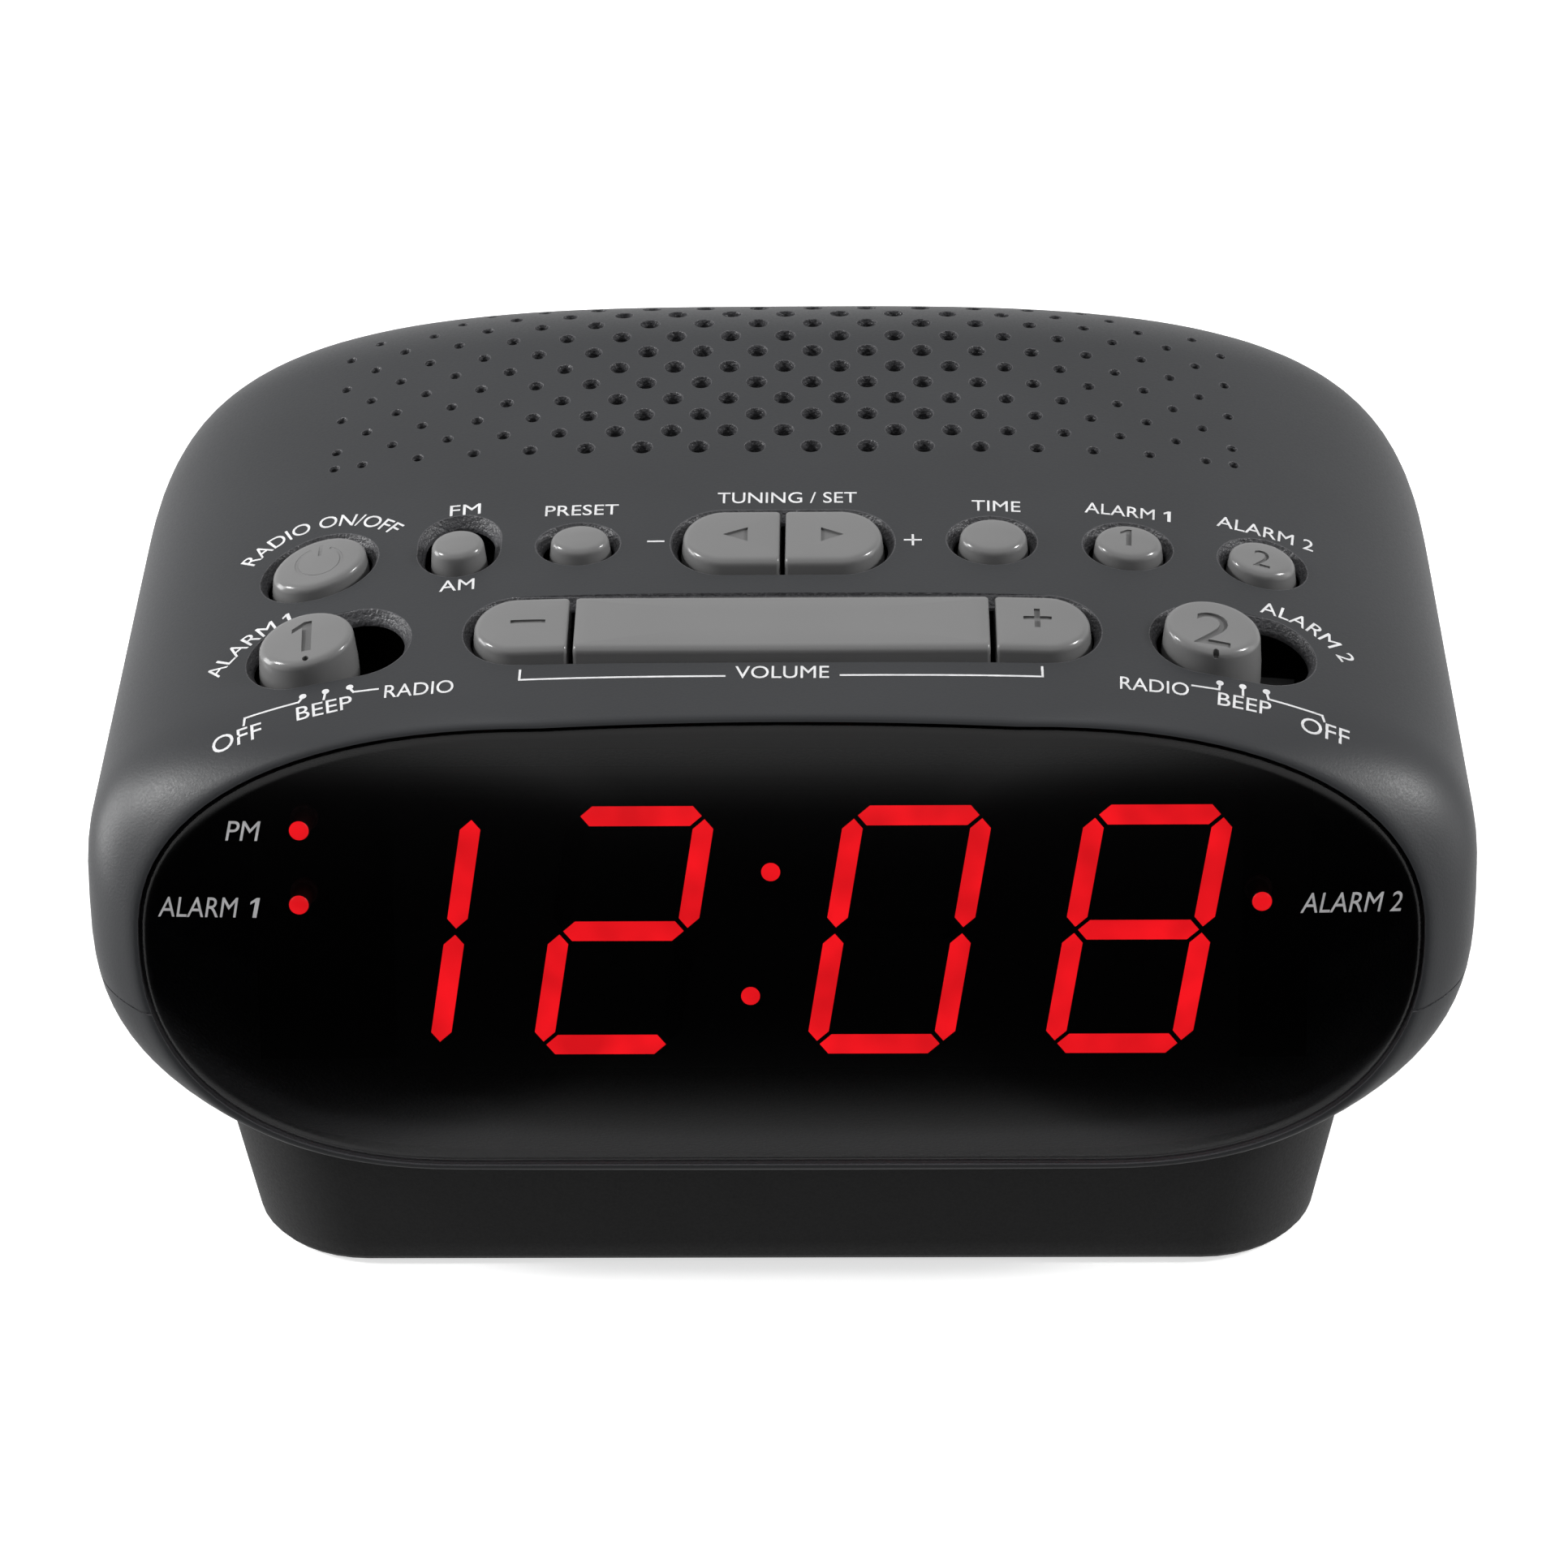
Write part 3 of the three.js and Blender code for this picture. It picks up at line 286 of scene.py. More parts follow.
def bumped(tree, shader, height, strength, distance):
    """Adds a bump of a real height in metres to a shader."""
    node = tree.nodes.new("ShaderNodeBump")
    set_inputs(node, {"Strength": strength, "Distance": distance})
    tree.links.new(height, node.inputs["Height"])
    tree.links.new(node.outputs["Normal"], shader.inputs["Normal"])


def moulded(name, colour, roughness, grain, depth, spread=0.08, drift=0.03, metallic=0.0, specular=0.5):
    """A moulded or painted finish: grain of a size and depth in metres, and a broad colour drift."""
    made, tree, shader, place = material(name)
    broad = ramp(tree, noise(tree, place, drift), 0, 1)
    tree.links.new(tinted(tree, broad, colour, spread), shader.inputs["Base Color"])
    fine = noise(tree, place, grain, detail=3)
    rough = ramp(tree, fine, roughness * 0.9, roughness * 1.1)
    tree.links.new(rough, shader.inputs["Roughness"])
    bumped(tree, shader, fine, 1.0, depth)
    set_inputs(shader, {"Metallic": metallic, "Specular IOR Level": specular})
    return made


def smoked(name, alpha):
    """Dark polished acrylic that lets part of the light straight through."""
    made, tree, shader, place = material(name)
    broad = ramp(tree, noise(tree, place, 0.05), 0, 1)
    tree.links.new(tinted(tree, broad, (0.0008, 0.0008, 0.0009), 0.1), shader.inputs["Base Color"])
    set_inputs(shader, {"Alpha": alpha, "IOR": 1.49, "Specular IOR Level": 0.9})
    tree.links.new(ramp(tree, noise(tree, place, 0.004), 0.05, 0.07), shader.inputs["Roughness"])
    return made


def glowing(name, colour, strength, size):
    """A lit LED face, a little uneven."""
    made, tree, shader, place = material(name)
    set_inputs(shader, {"Base Color": (0.25, 0.01, 0.012, 1), "Roughness": 0.4})
    uneven = ramp(tree, noise(tree, place, size, detail=1), 0, 1)
    tree.links.new(tinted(tree, uneven, colour, 0.16), shader.inputs["Emission Color"])
    shader.inputs["Emission Strength"].default_value = strength
    return made


HOUSING = moulded("housing_plastic", (0.03, 0.0315, 0.0345), 0.42, 0.00035, 0.00002, specular=0.4)
OPENING = moulded("housing_spark_texture", (0.07, 0.07, 0.075), 0.36, 0.0005, 0.0003)
SHELL = [HOUSING, OPENING]
BUTTON = moulded("button_plastic", (0.2, 0.2, 0.2), 0.2, 0.0012, 0.0000015, spread=0.03)
# A darker grey for the faces of the marks sunk into the caps: painted shade in their recesses.
PAINTED_MARK_SHADE = moulded("button_mark_painted_shade", (0.15, 0.15, 0.15), 0.45, 0.0006, 0.00001)
PEDESTAL = moulded(
    "pedestal_plastic", (0.012, 0.012, 0.0125), 0.6, 0.0004, 0.00003, spread=0.15, specular=0.35
)
RUBBER = moulded("foot_rubber", (0.015, 0.015, 0.015), 0.85, 0.0006, 0.00004)
PRINT = moulded("label_print", (0.78, 0.78, 0.79), 0.6, 0.0003, 0.000005, spread=0.12, drift=0.002)
LENS_FRONT = smoked("smoked_lens", 0.6)
LENS_BACK = smoked("smoked_lens_back", 0.02)
LED_RED = glowing("led_red", (0.95, 0.008, 0.014), 2.1, 0.006)
LED_BODY = moulded("led_body", (0.05, 0.004, 0.004), 0.4, 0.0008, 0.00001)
MODULE = moulded("module_black", (0.002, 0.002, 0.002), 0.6, 0.0004, 0.00002, specular=0.05)
BOARD_DARK = moulded("board_dark", (0.003, 0.0025, 0.002), 0.6, 0.0008, 0.00002, specular=0.05)
BOARD_GREEN = moulded("board_green", (0.012, 0.08, 0.03), 0.4, 0.0008, 0.00002)
COMPONENT = moulded("component_black", (0.012, 0.012, 0.013), 0.5, 0.0005, 0.00002)
LAMINATIONS = moulded("laminations", (0.2, 0.2, 0.21), 0.5, 0.0005, 0.00004, metallic=1)
STEEL = moulded("steel", (0.5, 0.5, 0.52), 0.35, 0.0004, 0.00001, metallic=1)
PAINTED_STEEL = moulded("painted_steel", (0.01, 0.01, 0.01), 0.6, 0.0004, 0.00001)
PAPER = moulded("speaker_paper", (0.014, 0.013, 0.012), 0.9, 0.0004, 0.00005)
FERRITE = moulded("ferrite", (0.03, 0.03, 0.032), 0.6, 0.0005, 0.00003)
COPPER = moulded("copper_wire", (0.45, 0.16, 0.06), 0.35, 0.0004, 0.00004, metallic=1)

# ---- Housing shape ----

QUARTER = 32
SHOULDER = 24


def shoulder_quarter(place, crown):
    """A quarter outline from the side to the top centre: a round shoulder up to a place, then a
    run that rises by the crown."""
    i = np.arange(QUARTER + 1)
    angle = np.minimum(i / SHOULDER, 1) * math.pi / 2
    run = np.minimum((QUARTER - i) / (QUARTER - SHOULDER), 1)
    bend = 2 / SHOULDER_POWER
    x = np.where(i < SHOULDER, place + (1 - place) * np.abs(np.cos(angle)) ** bend, place * run)
    h = np.where(i < SHOULDER, (1 - crown) * np.sin(angle) ** bend, 1 - crown * run**2)
    return np.stack([x, h], axis=1)


def super_quarter(power):
    """The same quarter as a superellipse."""
    angle = np.arange(QUARTER + 1) / QUARTER * math.pi / 2
    return np.stack([np.abs(np.cos(angle)) ** (2 / power), np.sin(angle) ** (2 / power)], axis=1)


def whole_outline(upper, lower, half_width, rise, drop):
    """A closed outline of (x, height) from an upper and a lower quarter."""
    top = upper * (half_width, rise)
    bottom = lower * (half_width, -drop)
    left_top = (top * (-1, 1))[::-1]
    left_bottom = bottom * (-1, 1)
    return np.concatenate([top, left_top[1:], left_bottom[1:], bottom[::-1][1:-1]])


LENS_TOP = shoulder_quarter(TOP_SHOULDER, TOP_CROWN)
LENS_BOTTOM = shoulder_quarter(BOTTOM_SHOULDER, 0)


def roll_off(depth, start, end, power):
    return (1 - max(0, (depth - start) / (end - start)) ** power) ** (1 / power)


def blend(first, second, share):
    return first + (second - first) * share


def section(depth, inset=0.0):
    """One upright section of the housing at a depth behind the front plane, drawn in by an inset."""
    flare = 1 - max(0, 1 - max(depth, 0) / FLARE_DEPTH) ** 3
    end = END - inset
    plan = roll_off(depth, PLAN_ROLL, end, PLAN_POWER)
    side = roll_off(depth, SIDE_ROLL, end, SIDE_POWER)
    upright = math.cos(FRONT_LEAN)
    half_width = blend(LENS_HALF_WIDTH + RIM, HALF_WIDTH, flare) * plan - inset
    rise = (blend((LENS_RISE + RIM) * upright, RISE, flare) + RISE_SLOPE * depth) * side - inset
    drop = blend((LENS_DROP + RIM) * upright, DROP, flare) * side - inset
    upper = blend(LENS_TOP, super_quarter(TOP_POWER), flare)
    lower = blend(LENS_BOTTOM, super_quarter(BOTTOM_POWER), flare)
    lean = FRONT_LEAN * min(max(1 - depth / LEAN_DEPTH, 0), 1)
    pairs = whole_outline(upper, lower, half_width, rise, drop)
    x, h = pairs[:, 0], pairs[:, 1]
    return np.stack([x, FRONT_Y + depth + h * math.tan(lean), FRONT_Z + AXIS_SLOPE * depth + h], axis=1)


def housing_rings(inset=0.0, first=0.0):
    """Sections from the front to the rear. The outside has a small round at both ends."""
    depths = [*np.arange(1, 16, 1.0), *np.arange(16, 92, 4.0), *np.arange(92, REAR - 2, 2.0)]
    inner = [section(depth, inset) for depth in depths]
    if inset:
        return [section(first, inset), *inner, section(REAR - inset, inset)]
    front = [section(depth, drawn_in) for depth, drawn_in in ((0, 0.4), (0.12, 0.16), (0.4, 0))]
    angles = np.radians([0, 22, 45, 67, 90])
    rear = [section(REAR - 1.6 * (1 - math.sin(a)), 1.6 * (1 - math.cos(a))) for a in angles]
    return [*front, *inner, *rear]


def lens_ring(grow, level):
    """The lens outline grown by an amount, in the frame of the front face."""
    size = (LENS_HALF_WIDTH + grow, LENS_RISE + grow, LENS_DROP + grow)
    pairs = whole_outline(LENS_TOP, LENS_BOTTOM, *size)
    return np.column_stack([pairs, np.full(len(pairs), level)])


SKIN_VERTICES, SKIN_FACES = loft(housing_rings())
ON_PLAN = Surface(PLAN, SKIN_VERTICES, SKIN_FACES)
ON_DECK = Surface(DECK, SKIN_VERTICES, SKIN_FACES)


def skin_reference():
    """The uncut housing with its vertex normals, for clean shading of what is cut from it."""
    obj = mesh_object("skin", SKIN_VERTICES, SKIN_FACES)
    normals = np.empty(len(obj.data.vertices) * 3)
    obj.data.vertex_normals.foreach_get("vector", normals)
    bpy.data.objects.remove(obj)
    tree = BVHTree.FromPolygons(SKIN_VERTICES, SKIN_FACES)
    return SKIN_VERTICES, SKIN_FACES, normals.reshape(-1, 3), tree


# ---- Control outlines ----

CORNER_STEPS = 14
SQUARE = 0.6
SPLIT_SHARE = 0.25


def outline(shape, grow=0.0):
    """Points of an outline on the deck. A split end grows by only a share of the amount."""
    x, y, length, width, left, right, turn = shape
    points = []
    for quarter, (side_x, side_y) in enumerate([(1, -1), (1, 1), (-1, 1), (-1, -1)]):
        corner = right if side_x > 0 else left
        is_round = corner > 1
        end = length / 2 + (grow if is_round else SPLIT_SHARE * grow)
        radius_x = corner + grow if is_round else SQUARE
        half_width = width / 2 + grow
        radius_y = half_width if is_round else SQUARE
        for k in range(CORNER_STEPS):
            angle = (quarter - 1 + (k + 0.5) / CORNER_STEPS) * math.pi / 2
            px = side_x * (end - radius_x) + radius_x * math.cos(angle)
            py = side_y * (half_width - radius_y) + radius_y * math.sin(angle)
            points.append((
                x + px * math.cos(turn) - py * math.sin(turn),
                y + px * math.sin(turn) + py * math.cos(turn),
            ))
    return np.array(points)


def oval(x, y, length, width, degrees=0):
    return (x, y, length, width, length / 2, length / 2, math.radians(degrees))


def pill(x, y, length, width, degrees=0):
    return (x, y, length, width, width / 2, width / 2, math.radians(degrees))


def bar_piece(y, width, start, end, round_end=""):
    """A piece of a long bar. Only the end named left or right is round."""
    left, right = (width / 2 if side == round_end else SQUARE for side in ("left", "right"))
    return ((start + end) / 2, y, end - start, width, left, right, 0.0)


BAR_X, BAR_Y, BAR_LENGTH, BAR_WIDTH, SNOOZE, BAR_GAP = 0.3, -29.6, 85.4, 12.6, 57.2, 0.6
TUNING_X, TUNING_Y, TUNING_LENGTH, TUNING_WIDTH, TUNING_GAP = 0.2, -10.4, 28.8, 12.8, 0.5
BAND_X, BAND_Y, BAND_TRAVEL = -45.4, -9.7, 4
SLIDER_X, SLIDER_Y, SLIDER_TURN, SLIDER_REST = 62.2, -30.5, 7, -2.9
SLIDER_LENGTH, SLIDER_WIDTH = 14, 12.6

volume_from, volume_to = BAR_X - BAR_LENGTH / 2, BAR_X + BAR_LENGTH / 2
snooze_from, snooze_to = BAR_X - SNOOZE / 2, BAR_X + SNOOZE / 2
tuning_from, tuning_to = TUNING_X - TUNING_LENGTH / 2, TUNING_X + TUNING_LENGTH / 2

BUTTONS = {
    "radio_button": oval(-65.1, -11.9, 14.4, 11.8, 25),
    "preset_button": oval(-28.3, -10.5, 9, 7.4),
    "tuning_down_button": bar_piece(
        TUNING_Y, TUNING_WIDTH, tuning_from, TUNING_X - TUNING_GAP / 2, "left"
    ),
    "tuning_up_button": bar_piece(
        TUNING_Y, TUNING_WIDTH, TUNING_X + TUNING_GAP / 2, tuning_to, "right"
    ),
    "time_button": oval(29.8, -10.1, 10.2, 8.8),
    "alarm1_button": oval(48.8, -10.4, 10.2, 8.6),
    "alarm2_button": oval(67.6, -11.2, 10.2, 8.8),
    "volume_down_button": bar_piece(BAR_Y, BAR_WIDTH, volume_from, snooze_from - BAR_GAP, "left"),
    "snooze_bar": bar_piece(BAR_Y, BAR_WIDTH, snooze_from, snooze_to),
    "volume_up_button": bar_piece(BAR_Y, BAR_WIDTH, snooze_to + BAR_GAP, volume_to, "right"),
}

APERTURES = [
    oval(-65.2, -11.6, 17, 14.2, 25),
    oval(-28.6, -10.4, 11.8, 9.6),
    pill(TUNING_X, TUNING_Y, TUNING_LENGTH + 2.6, TUNING_WIDTH + 2),
    oval(29.6, -9.9, 12.6, 11),
    oval(48.7, -10.2, 12.6, 10.8),
    oval(67.7, -11, 12.6, 11.3),
    pill(BAR_X, BAR_Y, BAR_LENGTH + 2.2, BAR_WIDTH + 2),
    pill(BAND_X, BAND_Y, 14, 11.6, 90),
    pill(-SLIDER_X, SLIDER_Y, 22.8, 14.6, SLIDER_TURN),
    pill(SLIDER_X, SLIDER_Y, 22.8, 14.6, -SLIDER_TURN),
]


def slider_knob(side):
    """The resting outline of an alarm knob: side is -1 on the left and 1 on the right."""
    turn = -side * math.radians(SLIDER_TURN)
    x = side * SLIDER_X + SLIDER_REST * math.cos(turn)
    y = SLIDER_Y + SLIDER_REST * math.sin(turn)
    return oval(x, y, SLIDER_LENGTH, SLIDER_WIDTH, math.degrees(turn))


KNOBS = {
    "band_knob": (oval(BAND_X, BAND_Y - BAND_TRAVEL / 2, 8.2, 7.4), 2.2),
    "alarm1_knob": (slider_knob(-1), 2.7),
    "alarm2_knob": (slider_knob(1), 2.7),
}

# ---- Words and marks ----

INK = 0.09


def figure_one(width, height, thickness):
    """A one as a stem with a flag to its upper left, at the right end of a width about zero."""
    stem, flag = 0.2 * height, 0.42 * height
    right, top = width / 2, height / 2
    path = [(right - stem, -top), (right, -top), (right, top), (right - 0.8 * stem, top)]
    path += [(right - flag, top - 0.2 * height), (right - flag, top - 0.34 * height)]
    path.append((right - stem, top - 0.2 * height))
    vertices, faces = prism(path, -thickness / 2, thickness / 2)
    return np.array(vertices), faces


def word(text, width, height, thickness, shear=0.0):
    """Vertices and faces of a word in the built-in font, fitted to a width and a height about zero.
    A one at its end is drawn apart."""
    if text.endswith("1"):
        one_points, one_faces = figure_one(width, height, thickness)
        one_points[:, 0] += shear * one_points[:, 1]
        letters = text[:-1].strip()
        if not letters:
            return one_points, one_faces
        letters_width = width - 0.95 * height
        points, faces = word(letters, letters_width, height, thickness, shear)
        points[:, 0] -= (width - letters_width) / 2
        vertices, faces = merged([(points, faces), (one_points, one_faces)])
        return np.array(vertices), faces
    curve = bpy.data.curves.new("word", "FONT")
    curve.body = text
    curve.extrude = 0.5
    curve.resolution_u = 4
    curve.shear = shear
    obj = new_object("word", curve)
    graph = bpy.context.evaluated_depsgraph_get()
    mesh = bpy.data.meshes.new_from_object(obj.evaluated_get(graph))
    bpy.data.objects.remove(obj)
    shape = bmesh.new()
    shape.from_mesh(mesh)
    bmesh.ops.remove_doubles(shape, verts=shape.verts, dist=1e-5)
    points = np.array([v.co[:] for v in shape.verts])
    faces = [tuple(v.index for v in f.verts) for f in shape.faces]
    shape.free()
    bpy.data.meshes.remove(mesh)
    low, high = points.min(0), points.max(0)
    points = (points - (low + high) / 2) / (high - low) * (width, height, thickness)
    return points, faces


def turned_flat(points, degrees, x, y):
    """Points turned about zero in their plane and moved to a place."""
    a = math.radians(degrees)
    px = points[:, 0] * math.cos(a) - points[:, 1] * math.sin(a) + x
    py = points[:, 0] * math.sin(a) + points[:, 1] * math.cos(a) + y
    return np.stack([px, py, points[:, 2]], axis=1)


def bent(points, x, y, radius, middle):
    """A word bent round a centre, with its middle at an angle in degrees."""
    angle = math.radians(middle) - points[:, 0] / radius
    reach = radius + points[:, 1]
    return np.stack([x + reach * np.cos(angle), y + reach * np.sin(angle), points[:, 2]], axis=1)


def stroke(path, width, low=-INK / 2, high=INK / 2):
    """A flat line of a width along a path of (x, y) points, as closed bars."""
    parts = []
    for (x0, y0), (x1, y1) in zip(path, path[1:]):
        length = math.hypot(x1 - x0, y1 - y0)
        ax, ay = (x1 - x0) / length, (y1 - y0) / length
        half = width / 2
        rings = []
        for t in np.linspace(-half, length + half, max(2, int(length) + 2)):
            cx, cy = x0 + ax * t, y0 + ay * t
            corners = [(half, low), (half, high), (-half, high), (-half, low)]
            rings.append([(cx - ay * w, cy + ax * w, z) for w, z in corners])
        parts.append(loft(rings))
    return parts


def disc(x, y, radius, low=-INK / 2, high=INK / 2, sides=20):
    """A short round solid at a place."""
    ring = circle(x, y, radius, sides)
    return loft([[(px, py, z) for px, py in ring] for z in (low, high)])


def prism(path, low, high):
    """A closed prism over an outline of (x, y) points, which may have inward corners."""
    count = len(path)
    vertices = [(x, y, z) for z in (low, high) for x, y in path]
    faces = [(i, (i + 1) % count, count + (i + 1) % count, count + i) for i in range(count)]
    faces += [tuple(reversed(range(count))), tuple(range(count, 2 * count))]
    return vertices, turned_out(vertices, faces)


# Straight words on the top: text, centre x, centre y, width, height, turn in degrees.
TOP_WORDS = [
    ("FM", -45.1, -1.2, 4.4, 2.4, 2),
    ("AM", -45.15, -18.45, 4.9, 2.4, 2),
    ("PRESET", -28.4, -2.5, 10.4, 2.4, 0),
    ("TUNING / SET", 0.75, -0.1, 19.8, 2.5, 0),
    ("TIME", 30.4, -1.9, 6.9, 2.4, -1),
    ("ALARM 1", 49.1, -1.9, 12.2, 2.4, -4),
    ("ALARM 2", 68.65, -2.85, 13.8, 2.5, -8),
    ("VOLUME", 0.45, -39.0, 12.7, 2.6, 0),
    ("OFF", -73.4, -45.2, 6.8, 2.7, 8),
    ("BEEP", -61.6, -42.6, 7.6, 2.6, 8),
    ("RADIO", -48.8, -40.6, 9.4, 2.6, 1),
    ("RADIO", 50.8, -40.4, 9.3, 2.6, -3),
    ("BEEP", 62.9, -42.2, 7.2, 2.6, -6),
    ("OFF", 73.7, -44.6, 6.6, 2.7, -6),
]

# Words round a knob or button: text, centre x and y, middle radius, middle angle, length, height.
BENT_WORDS = [
    ("RADIO ON/OFF", -64.4, -14.8, 14.2, 95.5, 24.6, 2.6),
    ("ALARM 1", -62.9, -37.8, 17.0, 132.5, 14.4, 2.5),
    ("ALARM 2", 65.3, -35.0, 14.6, 55.5, 15.0, 2.5),
]

# Lines between the words and the places they stand for.
LEADERS = [
    [(-35.2, -37.9), (-35.2, -39.9), (-7.4, -39.8)],
    [(8.4, -39.7), (35.7, -39.6), (35.7, -37.6)],
    [(-64.8, -39.9), (-65.3, -40.8), (-72.6, -42.0), (-72.6, -43.3)],
    [(-61.7, -39.5), (-61.8, -40.9)],
    [(-58.4, -39.2), (-57.8, -40.1), (-54.5, -40.0)],
    [(59.8, -38.8), (59.6, -40.0), (56.0, -39.7)],
    [(62.9, -39.0), (62.8, -40.6)],
    [(66.1, -39.4), (66.3, -40.7), (73.5, -42.0), (73.7, -43.0)],
    [(-18.7, -10.0), (-16.6, -10.0)],
    [(17.4, -9.9), (19.6, -9.9)],
    [(18.5, -11.0), (18.5, -8.8)],
]
LEADER_WIDTH = 0.32
DOTS = [(-64.8, -39.7), (-61.7, -39.3), (-58.4, -39.0), (59.8, -38.6), (62.9, -38.8), (66.1, -39.2)]
DOT_RADIUS = 0.5


def printed_marks():
    """Every printed word, line and dot on the top, laid on the skin."""
    parts = []
    for text, x, y, width, height, turn in TOP_WORDS:
        points, faces = word(text, width, height, INK)
        parts.append((turned_flat(points, turn, x, y), faces))
    for text, x, y, radius, middle, length, height in BENT_WORDS:
        points, faces = word(text, length, height, INK)
        parts.append((bent(points, x, y, radius, middle), faces))
    for path in LEADERS:
        parts.extend(stroke(path, LEADER_WIDTH))
    parts.extend(disc(x, y, DOT_RADIUS) for x, y in DOTS)
    vertices, faces = merged(parts)
    obj = mesh_object("printed_marks", ON_PLAN.lay(vertices), faces, [PRINT])
    clean_normals(obj)
    return obj


# ---- Housing halves ----

# Each opening's mouth as (growth, height): a small round at the skin, then a dish to the throat.
MOUTH = [(0.5, 0.8), (0.22, 0.0), (0.07, -0.05), (0.0, -0.18)]
MOUTH += [(-0.78, -1.35), (-0.88, -1.6), (-0.88, -9)]
GRILLE_MOUTH = [(0.24, 0.8), (0.14, 0.0), (0.04, -0.06), (0.0, -0.2), (-0.03, -9)]
GRILLE_ROWS, FIRST_ROW, ROW_PITCH, HOLE_PITCH = 11, 12.35, 4.08, 8.15
LAST_COLUMN, NARROW_LAST_COLUMN = 16, 12
HOLE_SIDES = 20

# Holes are large in the middle of the grille and small at its ends.
HOLE_COLUMNS = [0, 5, 7, 8, 10, 12, 16]
HOLE_RADII = [1.45, 1.45, 1.25, 1.12, 0.95, 0.78, 0.7]

# The lip behind the split line: its inset, how far behind the front it starts, and its clearance.
LIP_INSET, LIP_START, LIP_PLAY = 0.9, 0.5, 0.02

# A box over the whole upper half, from the split line's front end: x, y and z from and to.
UPPER_SPACE = (-130, 130, -70, 210, 0, 130)

# The cavity starts this far before the front, and the lens recess reaches this far past it.
CAVITY_START, RECESS_REACH = -6, 8


def hole_radius(reach):
    """The radius of a hole some columns from the middle of the grille."""
    return float(np.interp(reach, HOLE_COLUMNS, HOLE_RADII))


def grille_tools():
    """A cutter for every grille hole."""
    parts = []
    for row in range(GRILLE_ROWS):
        last = LAST_COLUMN if row < GRILLE_ROWS - 2 else NARROW_LAST_COLUMN
        for column in range(-last, last + 1):
            end_hole = row == 0 and abs(column) == last
            if (column + row) % 2 == 0 and not end_hole:
                continue
            x, y = column * HOLE_PITCH / 2, FIRST_ROW + row * ROW_PITCH
            rings = []
            for grow, level in GRILLE_MOUTH:
                ring = circle(x, y, hole_radius(abs(column)) + grow, HOLE_SIDES)
                rings.append(ON_PLAN.lay([(px, py, level) for px, py in ring]))
            parts.append(loft(rings))
    return parts


def aperture_tools():
    """A cutter for every opening that a control comes through."""
    parts = []
    for shape in APERTURES:
        rings = [
            ON_DECK.lay([(x, y, level) for x, y in outline(shape, grow)]) for grow, level in MOUTH
        ]
        parts.append(loft(rings))
    return parts


def above_seam(name, raise_by):
    """A solid over everything above the split line, raised by an amount."""
    turn = Matrix.Rotation(math.atan(SEAM_SLOPE), 4, "X")
    matrix = Matrix.Translation((0, FRONT_Y, SEAM_Z + raise_by)) @ turn
    vertices, faces = box(*UPPER_SPACE)
    return mesh_object(name, moved(matrix, vertices), faces, SHELL, 1)


def housing_shell(name):
    """The housing's wall, with the lens recess cut into its front."""
    shell = mesh_object(name, SKIN_VERTICES, SKIN_FACES, SHELL)
    cavity = loft(housing_rings(WALL, CAVITY_START))
    carve(shell, mesh_object("cavity", *cavity, SHELL, 1))
    levels = (-LENS_THICKNESS - GAP, RECESS_REACH)
    recess = loft([moved(FACE, lens_ring(GAP, level)) for level in levels])
    carve(shell, mesh_object("recess", *recess, SHELL, 1))
    return shell


def housing_top(reference):
    """The upper half, with the grille holes and the control openings."""
    top = housing_shell("housing_top")
    carve(top, above_seam("upper_space", SEAM_GAP / 2), "INTERSECT")
    vertices, faces = merged(grille_tools() + aperture_tools())
    carve(top, mesh_object("openings", vertices, faces, SHELL, 1))
    clean_normals(top, reference)
    return top


def housing_bottom(reference):
    """The lower half. A low lip behind the split line keeps light from passing through it."""
    bottom = housing_shell("housing_bottom")
    carve(bottom, above_seam("upper_space", SEAM_GAP / 2 - LIP_PLAY))
    groove = above_seam("seam_groove", -SEAM_GAP / 2)
    inside = loft(housing_rings(LIP_INSET, LIP_START))
    carve(groove, mesh_object("inside", *inside, SHELL, 1))
    carve(bottom, groove)
    clean_normals(bottom, reference)
    return bottom


SKIN = skin_reference()
stand_in(housing_top(SKIN), "housing", "top_cabinet")
stand_in(housing_bottom(SKIN), "housing", "bottom_cabinet")

marks = printed_marks()
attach(marks, "housing")

# ---- Pedestal and feet ----

PEDESTAL_HALF_WIDTH, PEDESTAL_FRONT, PEDESTAL_REAR = 75.9, -59.5, 50
PEDESTAL_CORNER, PEDESTAL_DRAFT, PEDESTAL_FOOT, PEDESTAL_TOP = 17, 0.17, 0.4, 42
FOOT_RADIUS, FOOT_HEIGHT = 6, 1.2
FEET = {
    "foot_front_left": (-58, -43),
    "foot_front_right": (58, -43),
    "foot_rear_left": (-46, 38),
    "foot_rear_right": (46, 38),
}

# Each cabinet screw's x, y and the height of its seat.
SCREWS = [(-58, -28, 9), (58, -28, 9), (-58, 36, 38), (58, 36, 38)]
SCREW_HEAD = 3.4

# The battery bay's opening: x, y and z from and to.
BAY = (-30, 28, 5, 34.5, -1, 21.4)


